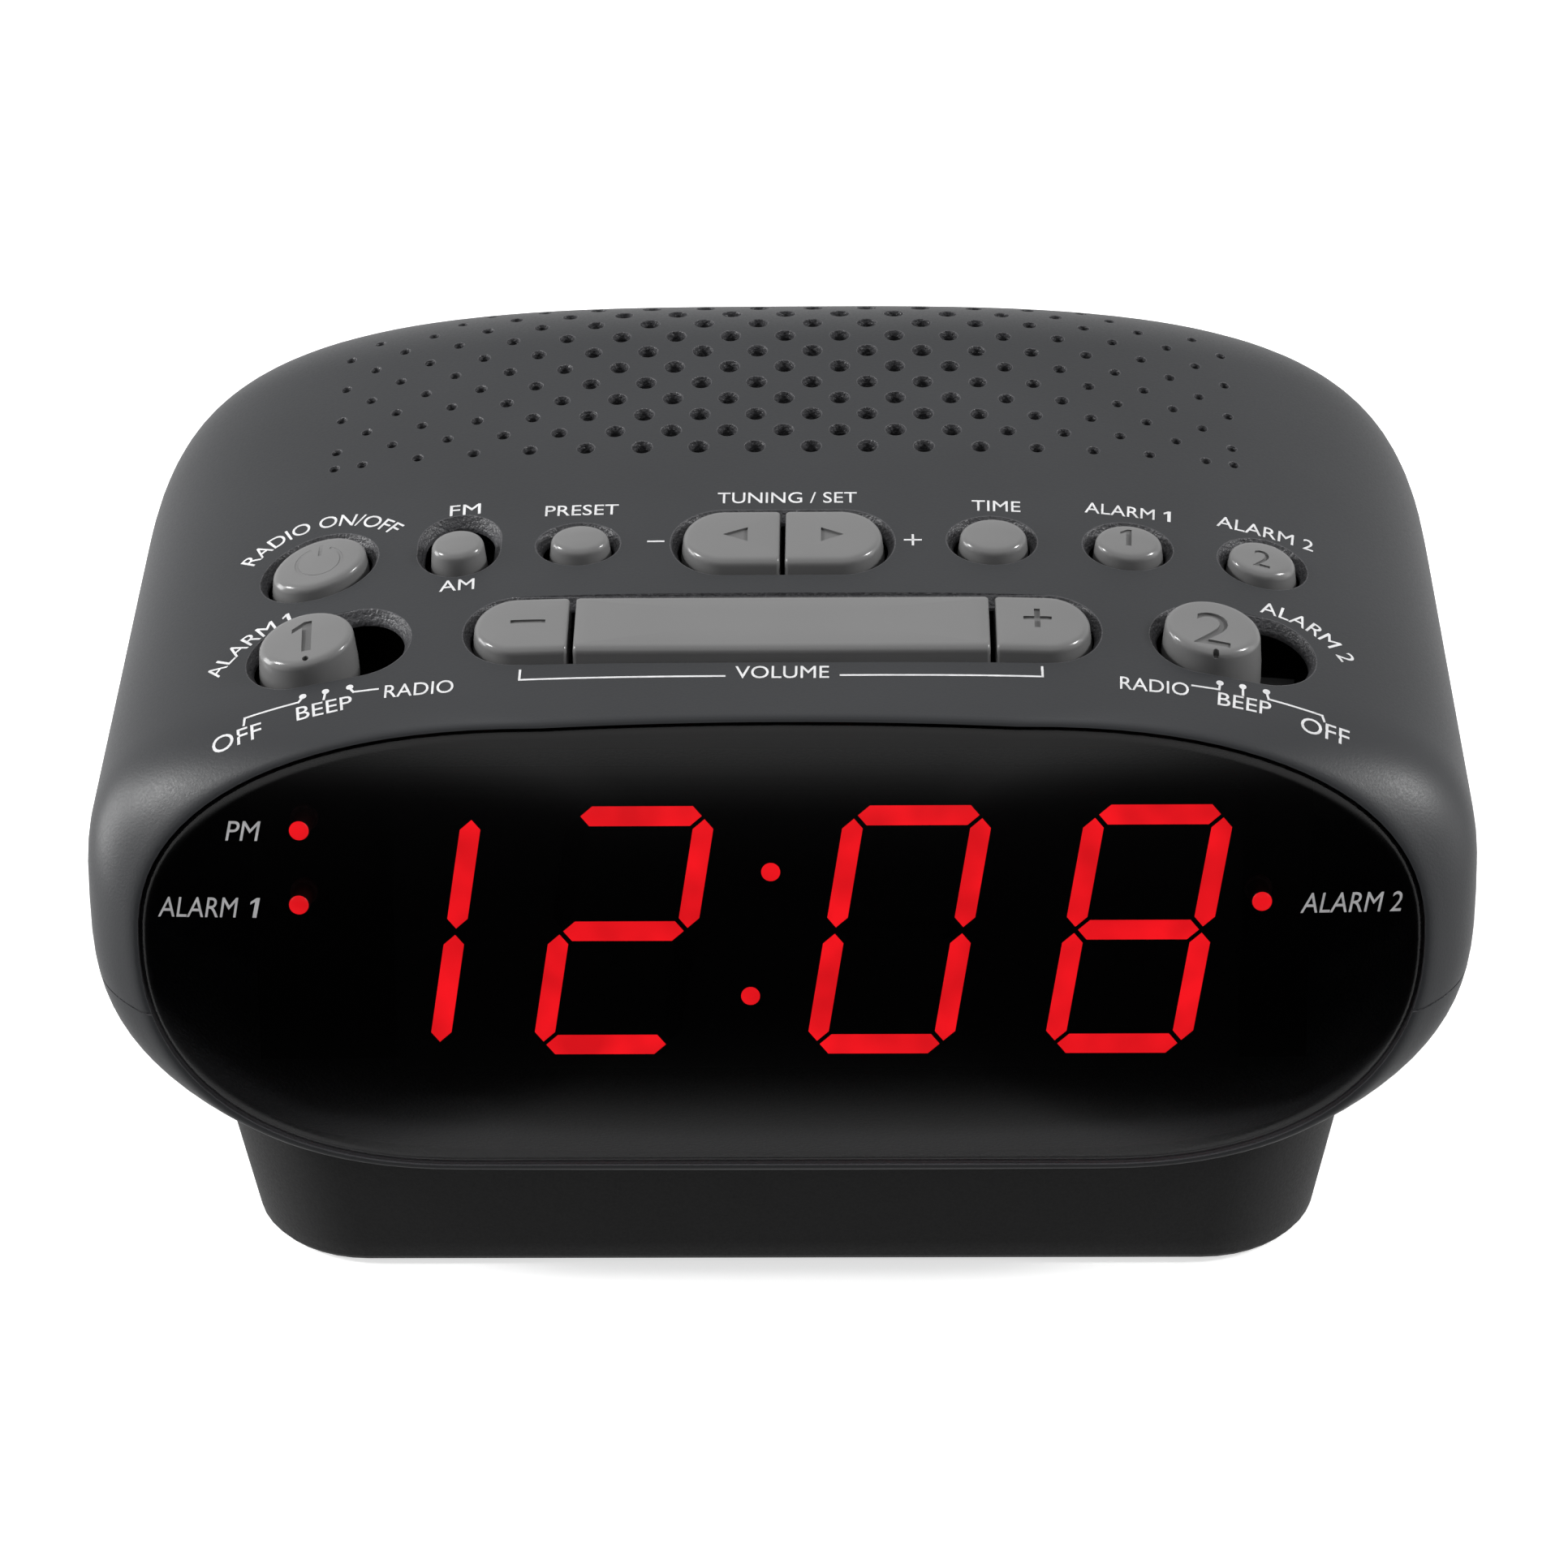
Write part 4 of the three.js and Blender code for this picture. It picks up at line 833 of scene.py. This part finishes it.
def pedestal_ring(z, inset):
    """A level outline of the pedestal, which widens sideways with height."""
    steps = 12
    centre_y = (PEDESTAL_FRONT + PEDESTAL_REAR) / 2
    half_depth = (PEDESTAL_REAR - PEDESTAL_FRONT) / 2 - inset
    half_width = PEDESTAL_HALF_WIDTH + PEDESTAL_DRAFT * z - inset
    corner = PEDESTAL_CORNER - inset
    ring = []
    for quarter, (side_x, side_y) in enumerate([(1, -1), (1, 1), (-1, 1), (-1, -1)]):
        for k in range(steps):
            angle = (quarter - 1 + k / (steps - 1)) * math.pi / 2
            x = side_x * (half_width - corner) + corner * math.cos(angle)
            y = centre_y + side_y * (half_depth - corner) + corner * math.sin(angle)
            ring.append((x, y, z))
    return ring


def pedestal():
    """The pedestal, with room for the housing, battery bay, feet and screws."""
    levels = [(0, 1.2), (0.35, 0.5), (1.2, 0)]
    rings = [pedestal_ring(PEDESTAL_FOOT + height, inset) for height, inset in levels]
    rings += [pedestal_ring(z, 0) for z in np.linspace(4, PEDESTAL_TOP, 8)]
    body = mesh_object("pedestal_moulding", *loft(rings), [PEDESTAL])
    depths = [-GAP, *np.arange(1, 92, 3.0), *np.arange(92, REAR, 3.0)]
    grown = [section(depth, -GAP) for depth in depths]
    carve(body, mesh_object("housing_space", *loft(grown)))
    tools = [box(*BAY)]
    for x, y in FEET.values():
        tools.append(disc(x, y, FOOT_RADIUS + GAP, -1, FOOT_HEIGHT + GAP, 40))
    for x, y, seat in SCREWS:
        tools.append(disc(x, y, SCREW_HEAD + GAP, -1, seat + GAP, 28))
    carve(body, mesh_object("recesses", *merged(tools)))
    clean_normals(body)
    return body


stand_in(pedestal(), "housing", "pedestal")

for foot_name, (foot_x, foot_y) in FEET.items():
    profile = [(FOOT_RADIUS - 0.4, 0), (FOOT_RADIUS - 0.1, 0.1), (FOOT_RADIUS, 0.4)]
    foot_vertices, foot_faces = turned([*profile, (FOOT_RADIUS, FOOT_HEIGHT)])
    place = Matrix.Translation((foot_x, foot_y, 0))
    foot = mesh_object("rubber_" + foot_name, moved(place, foot_vertices), foot_faces, [RUBBER])
    clean_normals(foot)
    stand_in(foot, "housing", foot_name)

# ---- Lens and display ----

LENS_BULGE = 2.2
LENS_POWER = 2.5

# The lens edge as (growth, level), from its rear up, and the level under which its faces are clear.
LENS_EDGE = [(-0.2, -LENS_THICKNESS), (0, -LENS_THICKNESS + 0.2), (0, -0.75)]
LENS_EDGE += [(-0.1, -0.5), (-0.35, -0.3), (-0.75, -0.15)]
LENS_CLEAR = -0.76


def lens():
    """The lens plate: bevelled round its edge and bulging forward in the middle."""
    rings = [lens_ring(grow, level) for grow, level in LENS_EDGE]
    last_growth, last_level = LENS_EDGE[-1]
    edge = lens_ring(last_growth, 0)
    for share in [0.985, 0.96, *np.linspace(0.92, 0.04, 23)]:
        ring = edge * (share, share, 0)
        ring[:, 2] = last_level + LENS_BULGE * (1 - share**LENS_POWER)
        rings.append(ring)
    vertices, faces = loft(rings)
    return moved(FACE, vertices), faces


lens_vertices, lens_faces = lens()
lens_plate = mesh_object("smoked_front", lens_vertices, lens_faces, [LENS_FRONT, LENS_BACK])
lens_local = moved(FACE.inverted(), lens_vertices)
for polygon, corners in zip(lens_plate.data.polygons, lens_faces):
    polygon.material_index = 0 if lens_local[list(corners), 2].min() > LENS_CLEAR else 1
clean_normals(lens_plate, sharp=50)
stand_in(lens_plate, "housing", "display_lens")
ON_LENS = Surface(FACE, lens_vertices, lens_faces)

DIGIT_HEIGHT, DIGIT_WIDTH, SEGMENT, DIGIT_SLANT = 35.6, 20.2, 2.8, math.radians(9.3)
DIGIT_GAP = 0.45
DIGIT_CENTRES = [-53.2, -21.5, 16.2, 48.9]
DIGITS_SHOWN = ["bc", "abdeg", "abcdef", "abcdefg"]
COLON_X, COLON_UPPER, COLON_LOWER, COLON_RADIUS = -2.65, 8.4, -9.4, 1.3
MODULE_FRONT = -4.5

# The lit faces go this far into the module and this little out of it.
SEGMENT_FACE, SEGMENT_PROUD = 0.25, 0.02
SEGMENT_LEVELS = (MODULE_FRONT - SEGMENT_FACE, MODULE_FRONT + SEGMENT_PROUD)


def slanted(x, s):
    """A point of the upright display, leaned as the digits are."""
    return x + s * math.tan(DIGIT_SLANT), s


def segment_outline(start, end):
    """The six corners of a bar segment between two points of an upright digit."""
    start, end = np.array(start, float), np.array(end, float)
    along = (end - start) / np.linalg.norm(end - start)
    across = np.array((-along[1], along[0]))
    start, end = start + along * DIGIT_GAP, end - along * DIGIT_GAP
    half = SEGMENT / 2
    near_side = [start, start + (along - across) * half, end - (along + across) * half]
    return [*near_side, end, end - (along - across) * half, start + (along + across) * half]


def digit_segments(centre, names):
    """The lit segments of one digit as prisms in the frame of the face."""
    x, y = (DIGIT_WIDTH - SEGMENT) / 2, (DIGIT_HEIGHT - SEGMENT) / 2
    lines = {
        "a": ((-x, y), (x, y)),
        "b": ((x, 0), (x, y)),
        "c": ((x, -y), (x, 0)),
        "d": ((-x, -y), (x, -y)),
        "e": ((-x, -y), (-x, 0)),
        "f": ((-x, 0), (-x, y)),
        "g": ((-x, 0), (x, 0)),
    }
    parts = []
    for name in names:
        corners = [slanted(px, py) for px, py in segment_outline(*lines[name])]
        corners = [(centre + px, py) for px, py in corners]
        parts.append(prism(corners, *SEGMENT_LEVELS))
    return parts


def lit_display():
    """Every lit segment and both dots of the colon, in one object."""
    parts = []
    for centre, names in zip(DIGIT_CENTRES, DIGITS_SHOWN):
        parts += digit_segments(centre, names)
    for s in (COLON_UPPER, COLON_LOWER):
        px, py = slanted(COLON_X, s)
        parts.append(disc(px, py, COLON_RADIUS, *SEGMENT_LEVELS, 32))
    vertices, faces = merged(parts)
    return mesh_object("lit_segments", moved(FACE, vertices), faces, [LED_RED])


segments = lit_display()
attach(segments, "housing")

LED_FOOT, LED_RADIUS, LED_COLLAR = -11.5, 1.5, 1.9
LED_GLOW_RADIUS, LED_GLOW_DEPTH = 1.35, 0.3
INDICATORS = {"pm_led": (-65.5, 14.4), "alarm1_led": (-65.9, 3.8), "alarm2_led": (65.7, 3.9)}
for led_name, (led_x, led_s) in INDICATORS.items():
    tip = MODULE_FRONT
    profile = [(LED_COLLAR, LED_FOOT), (LED_COLLAR, LED_FOOT + 1), (LED_RADIUS, LED_FOOT + 1)]
    profile += [(LED_RADIUS, tip - 0.6), (LED_GLOW_RADIUS, tip - LED_GLOW_DEPTH)]
    profile += [(1.05, tip - 0.1), (0.3, tip)]
    led_vertices, led_faces = turned(profile, 32)
    place = FACE @ Matrix.Translation((led_x, led_s, 0))
    led = mesh_object("lit_" + led_name, moved(place, led_vertices), led_faces, [LED_RED, LED_BODY])
    for polygon, corners in zip(led.data.polygons, led_faces):
        lowest = min(led_vertices[i][2] for i in corners)
        polygon.material_index = 0 if lowest > tip - LED_GLOW_DEPTH - 0.01 else 1
    clean_normals(led)
    stand_in(led, "housing", led_name)

# Words printed on the lens: text, centre across and up the lens, width and height.
LENS_WORDS = [
    ("PM", -72.4, 15.9, 4.9, 2.7),
    ("ALARM 1", -77.6, 5.15, 13.8, 2.8),
    ("ALARM 2", 77.25, 5.4, 13.8, 2.8),
]
LENS_INK, LENS_WORD_SHEAR = 0.05, 0.22


def lens_words():
    """The words on the lens, leaned a little, as one object."""
    parts = []
    for text, x, s, width, height in LENS_WORDS:
        points, faces = word(text, width, height, LENS_INK, LENS_WORD_SHEAR)
        parts.append((turned_flat(points, 0, x, s), faces))
    vertices, faces = merged(parts)
    return mesh_object("lens_words", ON_LENS.lay(vertices), faces, [PRINT])


words = lens_words()
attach(words, "housing")

# ---- Buttons and knobs ----

FILLET = 1.1
CROWN = 0.22
BUTTON_PROUD = 1.3
CAP_FOOT, CAP_WAIST = -5.0, -2.0
TAPER = 0.4

# Marks are cut from this share of the crown's height. The deeper ones take a darker colour, which is
# painted shade in their recesses; the faint ones take none.
MARK_TOP, MARK_HEIGHT = 0.8, 2
FAINT = 0.12
TOP_SHARES = [0.94, 0.84, 0.7, 0.52, 0.34, 0.16, 0.05]


def cap_rings(shape, proud):
    """Rings of a cap from its foot up: tapered wall, round edge, then a faintly crowned top."""
    wall = [(CAP_FOOT, 0.0), (CAP_WAIST, -TAPER / 4), (proud - FILLET, -TAPER)]
    rings = [[(x, y, level) for x, y in outline(shape, grow)] for level, grow in wall]
    for angle in np.radians([15, 30, 45, 60, 75, 90]):
        grow = -TAPER - FILLET * (1 - math.cos(angle))
        level = proud - FILLET + FILLET * math.sin(angle)
        rings.append([(x, y, level) for x, y in outline(shape, grow)])
    edge = outline(shape, -TAPER - FILLET)
    centre = np.array(shape[:2])
    for share in TOP_SHARES:
        level = proud + CROWN * (1 - share**2)
        rings.append([(x, y, level) for x, y in centre + (edge - centre) * share])
    return rings


def cap(name, shape, proud):
    """A button or knob cap on the deck."""
    rings = [ON_DECK.lay(ring) for ring in cap_rings(shape, proud)]
    return mesh_object(name, *loft(rings), [BUTTON, PAINTED_MARK_SHADE])


def engrave(obj, parts, proud, depth):
    """Sinks flat marks into a cap's top. Their z runs from zero at the bottom of the mark."""
    vertices, faces = merged(parts)
    points = np.array(vertices)
    points[:, 2] += proud + CROWN * MARK_TOP - depth
    # Deep marks take the darker colour, which paints shade into their recesses.
    index = 1 if depth > FAINT else 0
    carve(obj, mesh_object("marks", ON_DECK.lay(points), faces, [BUTTON, PAINTED_MARK_SHADE], index))


def digit_mark(text, x, y, width, height, turn):
    """A figure to sink into a cap, turned by degrees."""
    points, faces = word(text, width, height, MARK_HEIGHT)
    points[:, 2] += MARK_HEIGHT / 2
    return [(turned_flat(points, turn, x, y), faces)]


def ring_mark(x, y, radius, width, start, end):
    """An open ring between two angles in degrees."""
    angles = np.radians(np.linspace(start, end, 24))
    near, far = radius - width / 2, radius + width / 2
    corners = [(far, 0), (far, MARK_HEIGHT), (near, MARK_HEIGHT), (near, 0)]
    rings = [[(x + r * math.cos(a), y + r * math.sin(a), z) for r, z in corners] for a in angles]
    return [loft(rings)]


def bar_mark(x0, y0, x1, y1, width):
    return stroke([(x0, y0), (x1, y1)], width, 0, MARK_HEIGHT)


def shape_mark(path):
    return [prism(path, 0, MARK_HEIGHT)]


def pip_mark(x, y):
    """The small dot under a knob's figure."""
    return [disc(x, y, 0.45, -0.9, MARK_HEIGHT)]


DOWN_ARROW = [(-8.2, -10.5), (-4.7, -12.1), (-4.7, -8.9)]
UP_ARROW = [(8.8, -10.6), (5.6, -9.0), (5.6, -12.2)]
PLUS = [(33.4, -29.5), (34.9, -29.5), (34.9, -31.2), (35.7, -31.2), (35.7, -29.5), (37.3, -29.5)]
PLUS += [(37.3, -28.8), (35.7, -28.8), (35.7, -27.1), (34.9, -27.1), (34.9, -28.8), (33.4, -28.8)]
POWER = ring_mark(-65.1, -12.1, 3.2, 0.5, 115, 425) + bar_mark(-65.1, -8.6, -65.1, -10.6, 0.5)

# What is sunk into each cap's top, with its depth.
MARKS = {
    "radio_button": (POWER, 0.1),
    "tuning_down_button": (shape_mark(DOWN_ARROW), 0.3),
    "tuning_up_button": (shape_mark(UP_ARROW), 0.3),
    "alarm1_button": (digit_mark("1", 48.6, -10.0, 1.2, 3.8, -3), 0.3),
    "alarm2_button": (digit_mark("2", 67.5, -11.8, 2.4, 3.6, -8), 0.3),
    "volume_down_button": (bar_mark(-36.6, -29.5, -32.5, -29.5, 0.7), 0.3),
    "volume_up_button": (shape_mark(PLUS), 0.3),
    "alarm1_knob": (digit_mark("1", -65.0, -30.8, 1.4, 6.6, 4) + pip_mark(-64.7, -35.6), 0.4),
    "alarm2_knob": (digit_mark("2", 59.3, -31.1, 5.0, 6.8, -7) + pip_mark(59.4, -35.7), 0.4),
}


def make_cap(name, shape, proud):
    """Makes a cap with its mark, and puts it in its CAD piece's place."""
    obj = cap(name + "_cap", shape, proud)
    if name in MARKS:
        parts, depth = MARKS[name]
        engrave(obj, parts, proud, depth)
    clean_normals(obj, sharp=40)
    stand_in(obj, name, name)


for cap_name, cap_shape in BUTTONS.items():
    make_cap(cap_name, cap_shape, BUTTON_PROUD)
for cap_name, (cap_shape, cap_proud) in KNOBS.items():
    make_cap(cap_name, cap_shape, cap_proud)

# ---- Cord gland ----

GLAND_X, GLAND_Z, GLAND_PROUD = -40, 51.6, 1.2
GLAND_FLANGE, GLAND_BARREL, GLAND_BORE = 5, 3.7, 2.1
gland_profile = [(GLAND_BARREL, -6), (GLAND_BARREL, GAP), (GLAND_FLANGE, GAP)]
gland_profile += [(GLAND_FLANGE, GLAND_PROUD - 0.4), (GLAND_FLANGE - 0.4, GLAND_PROUD)]
gland_profile += [(GLAND_BORE + 0.3, GLAND_PROUD), (GLAND_BORE, GLAND_PROUD - 0.3), (GLAND_BORE, -4)]
gland_vertices, gland_faces = turned(gland_profile)
gland_turn = Matrix.Rotation(-math.pi / 2, 4, "X")
gland_place = Matrix.Translation((GLAND_X, FRONT_Y + REAR, GLAND_Z)) @ gland_turn
gland = mesh_object("strain_gland", moved(gland_place, gland_vertices), gland_faces, [RUBBER])
clean_normals(gland)
stand_in(gland, "housing", "cord_gland")

# ---- Finishes of the CAD pieces that stay ----

FINISHES = {
    "digit_module": MODULE,
    "display_board": BOARD_DARK,
    "control_board": BOARD_DARK,
    "main_board": BOARD_GREEN,
    "clock_chip": COMPONENT,
    "transformer": LAMINATIONS,
    "speaker_basket": PAINTED_STEEL,
    "speaker_cone": PAPER,
    "speaker_magnet": FERRITE,
    "ferrite_rod": FERRITE,
    "antenna_coil": COPPER,
    "battery_door": PEDESTAL,
    "battery_connector": COMPONENT,
}


def finish_of(name):
    """The finish of a CAD piece. Those not listed are screws or the black switches."""
    if name in FINISHES:
        return FINISHES[name]
    return STEEL if name.startswith("screw_") else COMPONENT


for node_name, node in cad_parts.items():
    slots = node.data.materials
    if not slots:
        slots.append(None)
    for slot_index in range(len(slots)):
        slots[slot_index] = finish_of(node_name)

# ---- Stage, light and camera ----

FLOOR_GLOW = 0.65
FLOOR_REACH, FLOOR_THICKNESS = 3000, 20

# How much a direction counts as in front, by its Y, first for shine and then for soft light.
# A direction's -1 to 1 is sent to 0 to 1.
FRONT_SHARE = [(0.0, 1.0), (0.05, 1.0), (0.14, 0.4), (0.35, 0.0), (1.0, 0.0)]
FRONT_SHARE_DIFFUSE = [(0.0, 1.0), (0.3, 1.0), (0.5, 0.0), (1.0, 0.0)]

# The world's light by a direction's Z, in front and elsewhere, sent to 0 to 1 in the same way.
FRONT_LEVELS = [(0.0, 0.05), (0.2, 0.05), (0.26, 0.85), (0.31, 0.8), (0.4, 0.02)]
FRONT_LEVELS += [(0.5, 0.0), (0.58, 0.03), (0.68, 0.8), (1.0, 1.0)]
AROUND_LEVELS = [(0.0, 1.0), (0.5, 1.0), (1.0, 0.6)]
WORLD_LEVEL = 0.76

# The share of the light in front that counts as soft light.
FRONT_DIFFUSE = 0.25

# Each light's name, place and size in metres, and power in watts.
LIGHT_TARGET = (0, 0, 0.05)
LIGHTS = [
    ("overhead", (0, 0.3, 1.1), (1.3, 1.0), 1.3),
    ("left_front", (-0.95, -0.15, 0.7), (0.2, 0.2), 7.0),
    ("right_front", (0.95, -0.15, 0.7), (0.2, 0.2), 6.5),
    ("left_side", (-0.95, 0.1, 0.2), (0.4, 0.5), 5.0),
    ("right_side", (0.95, 0.0, 0.2), (0.4, 0.5), 0.8),
]


def pale_floor():
    """A white floor that glows a little, as a lit product table does. It throws nothing back."""
    paint = moulded("floor_paint", (0.86, 0.86, 0.86), 0.7, 0.004, 0.00002, spread=0.01, drift=0.4)
    glow = {"Emission Color": (1, 1, 1, 1), "Emission Strength": FLOOR_GLOW}
    set_inputs(paint.node_tree.nodes["Principled BSDF"], glow)
    reach = (-FLOOR_REACH, FLOOR_REACH)
    obj = mesh_object("floor", *box(*reach, *reach, -FLOOR_THICKNESS, 0), [paint])
    obj.visible_glossy = False
    obj.visible_diffuse = False


def soft_light(name, place, size, power):
    """A soft light turned to the radio."""
    light = bpy.data.lights.new(name, "AREA")
    light.shape = "RECTANGLE"
    light.size, light.size_y = size
    light.energy = power
    obj = new_object(name, light)
    obj.location = place
    aim = Vector(LIGHT_TARGET) - Vector(place)
    obj.rotation_euler = aim.to_track_quat("-Z", "Y").to_euler()


def scaled(tree, value, factor):
    """A value times a factor."""
    node = tree.nodes.new("ShaderNodeMath")
    node.operation = "MULTIPLY"
    tree.links.new(value, node.inputs[0])
    node.inputs[1].default_value = factor
    return node.outputs["Value"]


def mapped(tree, value, points):
    """A value from -1 to 1 sent through a smooth curve of (0 to 1, result) points."""
    share = tree.nodes.new("ShaderNodeMapRange")
    share.inputs["From Min"].default_value = -1
    tree.links.new(value, share.inputs["Value"])
    node = tree.nodes.new("ShaderNodeFloatCurve")
    curve = node.mapping.curves[0]
    curve.points[0].location = points[0]
    curve.points[1].location = points[-1]
    for point in points[1:-1]:
        curve.points.new(*point)
    node.mapping.update()
    tree.links.new(share.outputs["Result"], node.inputs["Value"])
    return node.outputs["Value"]


def mixed(tree, share, first, second):
    """Goes from the first level to the second as the share goes from 0 to 1."""
    node = tree.nodes.new("ShaderNodeMix")
    tree.links.new(share, node.inputs["Factor"])
    for socket, value in (("A", first), ("B", second)):
        if isinstance(value, float):
            node.inputs[socket].default_value = value
        else:
            tree.links.new(value, node.inputs[socket])
    return node.outputs["Result"]


def surroundings():
    """A pale studio, dark in front at eye level so that the lens stays black in its middle."""
    world = bpy.data.worlds.new("studio")
    bpy.context.scene.world = world
    world.use_nodes = True
    tree = world.node_tree
    direction = tree.nodes.new("ShaderNodeTexCoord").outputs["Generated"]
    split = tree.nodes.new("ShaderNodeSeparateXYZ")
    tree.links.new(direction, split.inputs["Vector"])
    path = tree.nodes.new("ShaderNodeLightPath")
    diffuse = path.outputs["Is Diffuse Ray"]
    back, up = split.outputs["Y"], split.outputs["Z"]
    narrow, wide = mapped(tree, back, FRONT_SHARE), mapped(tree, back, FRONT_SHARE_DIFFUSE)
    in_front = mixed(tree, diffuse, narrow, wide)
    front, around = mapped(tree, up, FRONT_LEVELS), mapped(tree, up, AROUND_LEVELS)
    front = mixed(tree, diffuse, front, scaled(tree, front, FRONT_DIFFUSE))
    level = scaled(tree, mixed(tree, in_front, around, front), WORLD_LEVEL)
    strength = mixed(tree, path.outputs["Is Camera Ray"], level, 1.0)
    background = tree.nodes["Background"]
    background.inputs["Color"].default_value = (1, 1, 1, 1)
    tree.links.new(strength, background.inputs["Strength"])


pale_floor()
surroundings()
for light in LIGHTS:
    soft_light(*light)

CAMERA_PLACE = Vector((0.01055, -0.5502, 0.3870))
CAMERA_AIM = Vector((-0.0167, 0.8478, -0.5299))
CAMERA_ROLL = math.radians(-0.8)
CAMERA_SENSOR, CAMERA_LENS = 36, 100.55
camera_data = bpy.data.cameras.new("camera")
camera_data.sensor_width = CAMERA_SENSOR
camera_data.lens = CAMERA_LENS
camera = new_object("camera", camera_data)
camera_turn = CAMERA_AIM.to_track_quat("-Z", "Y").to_matrix()
camera_turn = camera_turn @ Matrix.Rotation(CAMERA_ROLL, 3, "Z")
camera.matrix_world = Matrix.Translation(CAMERA_PLACE) @ camera_turn.to_4x4()
bpy.context.scene.camera = camera
bpy.context.scene.view_settings.view_transform = "Standard"
